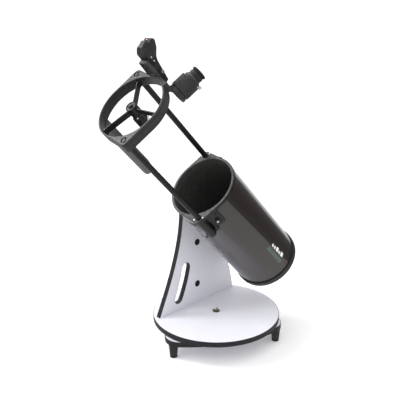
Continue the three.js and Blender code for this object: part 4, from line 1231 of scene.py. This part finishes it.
def behind_mirror(back, thickness, reach=60):
    """A slab whose face leans at 45 degrees towards the focuser, behind the secondary's plane."""
    direction = bearing(TUBE.inverse.to_3x3() @ eyeward)
    slab = block((-reach, -reach, 0), (reach, reach, thickness), 0)
    return slab.moved(z=back).turned("Y", -45).turned("Z", direction).moved(z=FOCUS_Z)


def build_secondary():
    thickness = 6.0
    glass = rod(
        SECONDARY_RADIUS, FOCUS_Z - 60, FOCUS_Z + 60, 0, 96
    ).within(behind_mirror(0, thickness))
    towards = TUBE.inverse.to_3x3() @ (eyeward - skyward)
    towards.normalize()
    glass.painted(1, lambda middle, normal: normal.dot(towards) > 0.95)
    stand_for(glass, "secondary_mirror", TUBE, ["ground_glass", "mirror"])

    holder_radius = SECONDARY_HOLDER
    top = TUBE.high("secondary_holder").z
    holder = turning([(0, FOCUS_Z - 40), (holder_radius, FOCUS_Z - 40),
        (holder_radius, top - 13, 0.4), (holder_radius - 0.8, top - 12.4, 0.2),
        (holder_radius - 0.8, top - 11.4, 0.2), (holder_radius, top - 10.8, 0.4),
        (holder_radius, top - 8, 1.0), (9, top, 0.8), (0, top)], 0.4, 72)
    holder = holder.within(behind_mirror(thickness + 0.3, 90))
    holder.cut(rod(3, top - 9, top + 3, 0, 24))
    stand_for(holder, "secondary_holder", TUBE, "black")
    for i, angle in enumerate((-50, 70, 190)):
        clip = rod(2.0, -1.0, 1.3, 0.4, 24).turned("Y", 43).moved(13.4, 0, top - 4.4)
        place(clip.turned("Z", angle), f"holder_screw_{i + 1}", TUBE, "cage", "steel")


# ---------------------------------------------------------------- focuser

GRIP_LOW = FOCUSER.low("eyepiece_holder").z
HOLDER_TOP = FOCUSER.high("eyepiece_holder").z
GRIP_RADIUS = FOCUSER.radii("eyepiece_holder")[1]
BORE_RADIUS = FOCUSER.radii("eyepiece_holder")[0]
GRIP_TOP = HOLDER_TOP - 7.5
COLLAR_TOP = FOCUSER.high("focuser_bracket").z
COLLAR_RADIUS = 23.2
DRAWTUBE_INNER, DRAWTUBE_RADIUS = FOCUSER.radii("focuser_drawtube")
BRACKET_HALF = FOCUSER.high("focuser_bracket").x


def cage_volume(place_used, along, grow=0.1):
    """What the cage's ring fills, in the frame of a piece that stands on it."""
    volume = prism(
        cornered(CAGE_RADIUS + grow, CORNER_RADIUS + grow), CAGE_BACK - grow, CAGE_FRONT + grow, 0
    )
    turn = place_used.inverse.to_3x3() @ TUBE.matrix.to_3x3()
    volume.moved(z=-along)
    volume.mesh.transform(turn.to_4x4())
    return volume


def build_bracket():
    front = FOCUSER.high("focuser_bracket").y
    back = 1 - GRIP_RADIUS
    foot = CAGE_BACK - FOCUS_Z
    side = [(front, 80), (front, 95.5, 1.2), (foot + 12, 96.2, 3), (back, 103.2, 1.2),
        (back, 99.0, 1.2), (foot - 15, 94.2, 6), (foot - 2, 88, 3), (foot + 2, 80)]
    arm = prism(rounded(side, 1.0, 4), -BRACKET_HALF, BRACKET_HALF, 1.0, 3).sideways()
    pocket = [(front - 10, 70), (front - 10, 91.5), (foot + 9, 92.4, 3), (back + 4, 99.0),
        (back + 4, 90), (foot - 30, 70)]
    hollow = prism(rounded(pocket, 1.0, 3), -BRACKET_HALF + 4.2, BRACKET_HALF - 4.2, 0.6).sideways()
    ribs = []
    for x in (-9, 9):
        ribs.append(prism(rounded(side, 0.6, 3), x - 1.2, x + 1.2, 0.3).sideways())
    collar = turning([(0, 97), (COLLAR_RADIUS + 1.6, 97, 0.4), (COLLAR_RADIUS + 1.2, 106.4, 1.2),
        (COLLAR_RADIUS, 107.4, 0.8), (COLLAR_RADIUS, COLLAR_TOP, 0.5), (0, COLLAR_TOP)], 0.4, 96)
    # The end under the grip is as round as the grip.
    round_end = arc((0, 0), -back, 180, 360, 24) + [(-back, front + 1), (back, front + 1)]
    arm.cut(hollow).add(*ribs)
    arm = arm.within(prism(round_end, 60, 120, 0)).add(collar)
    arm.cut(cage_volume(FOCUSER, FOCUS_Z), rod(DRAWTUBE_RADIUS + 0.3, 60, COLLAR_TOP + 3, 0, 64))
    stand_for(arm, "focuser_bracket", FOCUSER, "moulding")
    for count, x in enumerate((-BRACKET_HALF + 7, BRACKET_HALF - 7), 1):
        screw = pan_screw(2.6, 1.4).moved(x, foot + 19, 95.9)
        place(screw, f"bracket_screw_{count}", FOCUSER, "cage", "dark_steel")


def build_drawtube():
    low, high = FOCUSER.heights("focuser_drawtube")
    profile = [(DRAWTUBE_INNER, low), (DRAWTUBE_RADIUS - 0.6, low)]
    pitch = 1.5
    height = low + 0.4
    while height < high - 2:
        profile += [(DRAWTUBE_RADIUS - 0.6, height), (DRAWTUBE_RADIUS, height + 0.35)]
        profile += [(DRAWTUBE_RADIUS, height + 0.75), (DRAWTUBE_RADIUS - 0.6, height + 1.1)]
        height += pitch
    profile += [(DRAWTUBE_RADIUS - 0.6, high), (DRAWTUBE_INNER, high)]
    stand_for(lathe(profile, 72), "focuser_drawtube", FOCUSER, "black")


def build_holder():
    rim = 3.0
    outer = [(COLLAR_RADIUS + 0.6, GRIP_LOW, 0.4), (GRIP_RADIUS, GRIP_LOW, 0.7),
        (GRIP_RADIUS, GRIP_LOW + rim, 0.5), (GRIP_RADIUS - 0.9, GRIP_LOW + rim + 0.5, 0.3),
        (GRIP_RADIUS - 0.9, GRIP_TOP - rim - 0.5, 0.3), (GRIP_RADIUS, GRIP_TOP - rim, 0.5),
        (GRIP_RADIUS, GRIP_TOP - 0.6, 1.2), (22.5, GRIP_TOP, 0.6), (21.5, GRIP_TOP + 0.4, 0.3),
        (21.5, HOLDER_TOP - 0.6, 0.8), (20.4, HOLDER_TOP, 0.4), (BORE_RADIUS, HOLDER_TOP, 0.5),
        (BORE_RADIUS, GRIP_TOP - 4, 0.2), (COLLAR_RADIUS + 0.6, GRIP_TOP - 4, 0.2)]
    holder = turning(outer, 0.4, 120)
    grip = prism(scalloped(GRIP_RADIUS - 0.05, 0.9, 36, 6), GRIP_LOW + 2, GRIP_TOP - 2, 0)
    grip.cut(rod(COLLAR_RADIUS + 0.9, GRIP_LOW, GRIP_TOP, 0, 96))
    holder.add(grip)
    screws = []
    for i in (1, 2):
        middle = FOCUSER.middle(f"eyepiece_screw_{i}")
        angle = bearing(middle)
        hole = rod(1.8, 10, 30, 0, 24).outwards(angle, middle.z)
        screws.append((i, angle, middle.z))
        holder.cut(hole)
    stand_for(holder, "eyepiece_holder", FOCUSER, "moulding", "black")
    ring = tube_ring(BORE_RADIUS + 0.3, 20.6, HOLDER_TOP + 0.02, HOLDER_TOP + 0.28, 0.08, 64)
    place(ring, "holder_top_ring", FOCUSER, "eyepiece_holder", "steel")
    for i, angle, height in screws:
        inner = min(math.hypot(p.x, p.y) for p in FOCUSER.points(f"eyepiece_screw_{i}"))
        head = prism(scalloped(4.2, 0.45, 14, 4), 23.6, 29.2, 0.5, 2)
        head.add(rod(2.6, 22.2, 24.5, 0.3, 24), rod(1.5, inner, 23.6, 0.2, 20))
        head.add(turning([(0, 28.5), (3.0, 28.5), (2.6, 30.0, 0.5), (0, 30.0)], 0.2, 24))
        screw = head.outwards(angle, height)
        stand_for(screw, f"eyepiece_screw_{i}", FOCUSER, "steel")


def build_eyepiece():
    low, high = FOCUSER.heights("eyepiece")
    barrel = 15.8
    seat = HOLDER_TOP + 0.3
    body = turning([(0, low + 2), (12.5, low + 2, 0.3), (12.5, low, 0.3), (14.8, low, 0.5),
        (barrel, low + 1.2, 0.4), (barrel, seat, 0.1), (18, seat, 0.5), (18, seat + 3.4, 0.5),
        (17.0, seat + 4.0, 0.3), (17.0, seat + 5.0, 0.3), (17.8, seat + 5.6, 0.6),
        (17.8, seat + 12.4, 0.6), (16.4, seat + 13.4, 0.6), (16.4, seat + 15.0, 0.8),
        (19.2, seat + 18.2, 1.0), (19.2, seat + 20.0, 0.8), (17.2, high, 1.0), (15.6, high, 0.8),
        (11.5, seat + 17.5, 1.0), (9.0, seat + 16.6, 0.4), (0, seat + 16.6)], 0.4, 96)
    grooves = []
    for k in range(30):
        angle = 360 * k / 30
        groove = rod(0.55, seat + 6.6, seat + 11.6, 0.3, 12)
        grooves.append(groove.moved(*polar(18.0, angle)))
    body.cut(*grooves)
    mark = rod(1.3, 15.5, 22, 0, 20).outwards(-90, seat + 10)
    body.cut(mark)
    body.painted(
        1, lambda middle, normal: middle.z < seat - 0.01 and math.hypot(middle.x, middle.y) > 12
    )
    body.painted(2, lambda middle, normal: middle.z > seat + 13.0)
    stand_for(body, "eyepiece", FOCUSER, ["black", "steel", "rubber"])
    glass = lathe([(0, seat + 16.4), (8.2, seat + 16.4), (8.2, seat + 16.8), (6, seat + 17.4),
        (3, seat + 17.8), (0, seat + 17.9)], 48)
    place(glass, "eyepiece_lens", FOCUSER, "eyepiece_holder", "lens")


# ---------------------------------------------------------------- finder

SHOE_LOW = FINDER.low("finder_shoe")
SHOE_HIGH = FINDER.high("finder_shoe")
FINDER_LOW = FINDER.low("finder_body")
FINDER_HIGH = FINDER.high("finder_body")


def build_shoe():
    side = [(CAGE_BACK + 3, 80), (CAGE_FRONT - 2, 80), (CAGE_FRONT - 2, 95, 1.5),
        (SHOE_HIGH.y, 96.5, 1.5), (SHOE_HIGH.y, SHOE_HIGH.z, 1.2),
        (CAGE_BACK + 3, SHOE_HIGH.z, 1.2)]
    shoe = prism(rounded(side, 1.0, 4), SHOE_LOW.x, SHOE_HIGH.x, 1.0, 3).sideways()
    cuts = [cage_volume(FINDER, 0)]
    middle = (SHOE_LOW.x + SHOE_HIGH.x) / 2
    cuts.append(rod(2.0, 90, 103, 0, 24).moved(middle, 502, 0))
    channel = block(
        (SHOE_LOW.x + 4, CAGE_FRONT + 6, 88), (SHOE_HIGH.x - 4, SHOE_HIGH.y - 3, 98.6), 0.6
    )
    cuts.append(channel)
    shoe.cut(*cuts)
    stand_for(shoe, "finder_shoe", FINDER, "shield")
    screw = pan_screw(2.4, 1.2).turned("X", 180).moved(middle, 497, 98.6)
    place(screw, "shoe_screw", FINDER, "cage", "dark_steel")


def finder_side():
    floor = FINDER_LOW.z
    nose = FINDER_HIGH.y
    top = FINDER_HIGH.z
    return [(FINDER_LOW.y, floor, 2), (nose - 13, floor, 8), (nose, floor + 10, 10),
        (nose, top - 12, 10), (nose - 13, top, 8), (nose - 31, top - 10, 10),
        (nose - 44, top - 26, 12), (FINDER_LOW.y, floor + 11.7, 3)]


def build_finder():
    half = FINDER_HIGH.x
    nose = FINDER_HIGH.y
    outline = rounded(finder_side(), 2, 6)
    body = prism(outline, -half, half, 2.2, 5).sideways()
    # Seen from above, the body widens into the head and narrows again to the nose.
    right = [(8.0, FINDER_LOW.y, 3), (9.0, nose - 56, 20), (half, nose - 40, 14),
        (half, nose - 22, 12), (8.6, nose, 5)]
    left = [(-x, y, own) for x, y, own in reversed(right)]
    body = body.within(prism(rounded(right + left, 2, 8), 60, 200, 0))
    cuts = []
    low, high = FINDER.low("finder_window"), FINDER.high("finder_window")
    opening = block(
        (low.x - 0.3, nose - 13, low.z - 0.3), (high.x + 0.3, nose + 10, high.z + 0.3), 0.0, 2.0
    )
    cuts.append(opening)
    flare = prism(rounded([(low.x - 1.8, low.z - 1.8), (high.x + 1.8, low.z - 1.8),
        (high.x + 1.8, high.z + 1.8), (low.x - 1.8, high.z + 1.8)], 2.5), -1.2, 8, 0)
    flare.turned("X", 90).moved(0, nose, 0)
    cuts.append(flare)
    rear = block((low.x + 1, nose - 60, low.z + 1), (high.x - 1, nose - 20, high.z - 1), 0.0, 1.5)
    cuts.append(rear)
    for side in (-1, 1):
        groove = block((9, nose - 62, FINDER_LOW.z + 3.4), (20, nose - 30, FINDER_LOW.z + 4.6), 0)
        cuts.append(groove if side > 0 else groove.turned("Z", 180).moved(0, 2 * nose - 92))
    body.cut(*cuts)
    softened(stand_for(body, "finder_body", FINDER, "black"), 0.9)
    for i, back in enumerate((33, 45)):
        screw = pan_screw(2.3, 1.3).turned("Y", -90).moved(-half, nose - back, FINDER_LOW.z + 9)
        place(screw, f"finder_screw_{i + 1}", FINDER, "cage", "steel")

    pane = prism(rounded([(low.x, low.z), (high.x, low.z), (high.x, high.z), (low.x, high.z)],
        1.6), 0, high.y - low.y, 0.4)
    pane.turned("X", 90).moved(0, high.y, 0)
    stand_for(pane, "finder_window", FINDER, "lens")
    lamp = turning([(0, 0), (2.6, 0), (2.6, 1.5, 0.8), (1.6, 2.6, 0.6), (0, 3.0)], 0.4, 28)
    lamp.turned("X", -90).moved(0, high.y, (low.z + high.z) / 2 + 0.5)
    place(lamp, "finder_lamp", FINDER, "cage", "amber")
    build_finder_controls(half)


def build_finder_controls(half):
    middle = FINDER.middle("finder_switch")
    outer = FINDER.high("finder_switch").x
    knob = prism(scalloped(8.5, 0.7, 18, 6), half + 0.3, outer - 2, 0.6, 3)
    knob.add(turning([(0, outer - 3), (7.2, outer - 3), (6.8, outer, 0.8), (0, outer)], 0.4, 48))
    knob.cut(block((-5.5, -0.6, outer - 0.9), (5.5, 0.6, outer + 2), 0))
    knob.turned("Y", 90).moved(0, middle.y, middle.z)
    stand_for(knob, "finder_switch", FINDER, "foot")

    middle = FINDER.middle("finder_adjuster")
    low = FINDER.low("finder_adjuster").x
    high = FINDER.high("finder_adjuster").x
    screw = prism(scalloped(4.5, 0.4, 16, 4), low, high, 0.5, 2)
    screw.cut(block((-3.5, -0.5, low - 1), (3.5, 0.5, low + 1.2), 0))
    screw.turned("Y", 90).moved(0, middle.y, middle.z)
    stand_for(screw, "finder_adjuster", FINDER, "steel")


# ---------------------------------------------------------------- CAD nodes that stay

KEPT = {"arm_bolt_1": "steel", "arm_bolt_2": "steel"}


def finish_kept_nodes():
    for name, finish in KEPT.items():
        kept = frame["nodes"][name]
        kept.data.materials.clear()
        kept.data.materials.append(finishes[finish])


# ---------------------------------------------------------------- studio

AZIMUTH = 44.70  # the camera's direction round the object, degrees
ELEVATION = 19.39
CAMERA_AT = Vector((1.3123, -1.3598, 1.0588))  # from the foot of the azimuth axis, metres
LENS = 62.34
BACKDROP = 14.0  # metres
BACKDROP_GLOW = 1.1
WORLD_GLOW = 0.78
SUN_POWER = 1.35
SUN_WIDTH = 75  # degrees, so that shadows stay soft
FRONT_BOX_POWER = 45
CARD_DISTANCE = 700.0
# The directions round the tube, in degrees, whose paint mirrors each card: where the card starts
# below and above, and where it ends. Then its brightness.
REFLECTIONS = [("dark_card", 8, -16, 38, 0.12), ("bright_card", 47, 47, 68, 1.1)]


def build_camera():
    data = bpy.data.cameras.new("camera")
    data.lens = LENS
    data.sensor_width = 36
    camera = linked("camera", data)
    a, e = math.radians(AZIMUTH), math.radians(ELEVATION)
    back = Vector((math.sin(a) * math.cos(e), -math.cos(a) * math.cos(e), math.sin(e)))
    camera.location = Vector(joints["azimuth_turn"]["pos_m"]) + CAMERA_AT
    camera.rotation_mode = "QUATERNION"
    camera.rotation_quaternion = (-back).to_track_quat("-Z", "Y")
    bpy.context.scene.camera = camera


def card(name, corners, material, shows_to):
    mesh = bpy.data.meshes.new(name)
    mesh.from_pydata([tuple(corner) for corner in corners], [], [(0, 1, 2, 3)])
    stage_for(name, mesh, material, shows_to)


def stage_for(name, mesh, material, shows_to):
    """A part of the studio that only some kinds of ray see."""
    mesh.materials.append(material)
    made = linked(name, mesh)
    made.visible_camera = "camera" in shows_to
    made.visible_diffuse = "diffuse" in shows_to
    made.visible_glossy = "glossy" in shows_to
    made.visible_transmission = "camera" in shows_to
    made.visible_shadow = "shadow" in shows_to


def glow(name, strength):
    material = bpy.data.materials.new(name)
    material.use_nodes = True
    tree = material.node_tree
    tree.nodes.clear()
    shine = tree.nodes.new("ShaderNodeEmission")
    shine.inputs["Color"].default_value = (1, 1, 1, 1)
    shine.inputs["Strength"].default_value = strength
    output = tree.nodes.new("ShaderNodeOutputMaterial")
    tree.links.new(shine.outputs["Emission"], output.inputs["Surface"])
    return material


def build_floor():
    half = 1.2 * BACKDROP
    corners = [(-half, -half, 0), (half, -half, 0), (half, half, 0), (-half, half, 0)]
    surface = Finish("pale_floor", (0.97, 0.97, 0.97), 0.8, Specular_IOR_Level=0.1)
    surface.tint((0.965, 0.965, 0.965), (0.975, 0.975, 0.975), 2)
    card("floor", corners, surface.material, {"camera", "diffuse", "shadow"})


def build_backdrop():
    """A white shell round everything, for the camera only."""
    mesh = bpy.data.meshes.new("backdrop")
    work = bmesh.new()
    bmesh.ops.create_icosphere(work, subdivisions=3, radius=BACKDROP)
    work.to_mesh(mesh)
    work.free()
    stage_for("backdrop", mesh, glow("backdrop_white", BACKDROP_GLOW), {"camera"})


def build_reflections():
    """Cards along the tube that its paint mirrors: at an angle round the tube, and a distance."""
    toward = TUBE.inverse.to_3x3() @ (bpy.context.scene.camera.location - pivot)
    toward.normalize()
    view = bearing(toward)
    slide = toward.z / math.hypot(toward.x, toward.y)
    middle = -slide * CARD_DISTANCE
    for name, far, near, end, strength in REFLECTIONS:
        corners = []
        for normal, z in ((far, -650), (near, 750), (end, 750), (end, -650)):
            x, y = polar(CARD_DISTANCE, 2 * normal - view)
            corners.append(TUBE.matrix @ (Vector((x, y, middle + z)) * MM))
        card(name, corners, glow(name + "_glow", strength), {"glossy"})


def area_light(name, location, target, size, power):
    data = bpy.data.lights.new(name, "AREA")
    data.shape = "SQUARE"
    data.size = size
    data.energy = power
    light = linked(name, data)
    light.location = location
    towards = Vector(target) - Vector(location)
    light.rotation_mode = "QUATERNION"
    light.rotation_quaternion = towards.to_track_quat("-Z", "Y")


def build_studio():
    scene = bpy.context.scene
    scene.view_settings.view_transform = "Standard"
    world = bpy.data.worlds.new("studio")
    world.use_nodes = True
    world.node_tree.nodes["Background"].inputs["Color"].default_value = (1, 1, 1, 1)
    world.node_tree.nodes["Background"].inputs["Strength"].default_value = WORLD_GLOW
    scene.world = world
    overhead = bpy.data.lights.new("overhead", "SUN")
    overhead.energy = SUN_POWER
    overhead.angle = math.radians(SUN_WIDTH)
    light = linked("overhead", overhead)
    light.rotation_euler = (math.radians(12), math.radians(8), 0)
    area_light("front_box", (-1.7, -1.1, 2.3), (0, 0, 0.6), 1.2, FRONT_BOX_POWER)


# ---------------------------------------------------------------- assembly

ASSEMBLY = [build_camera, build_studio, build_floor, build_backdrop, build_reflections,
    build_ground, build_feet, build_turntable, build_pivot, build_arm, build_altitude_bearing,
    build_flange, build_locks, build_lower_tube, build_label, build_cell, build_carrier,
    build_collimation, build_primary, build_struts, build_cage_ring, build_light_shield,
    build_spider, build_secondary, build_bracket, build_drawtube, build_holder, build_eyepiece,
    build_shoe, build_finder, finish_kept_nodes]
for build in ASSEMBLY:
    build()
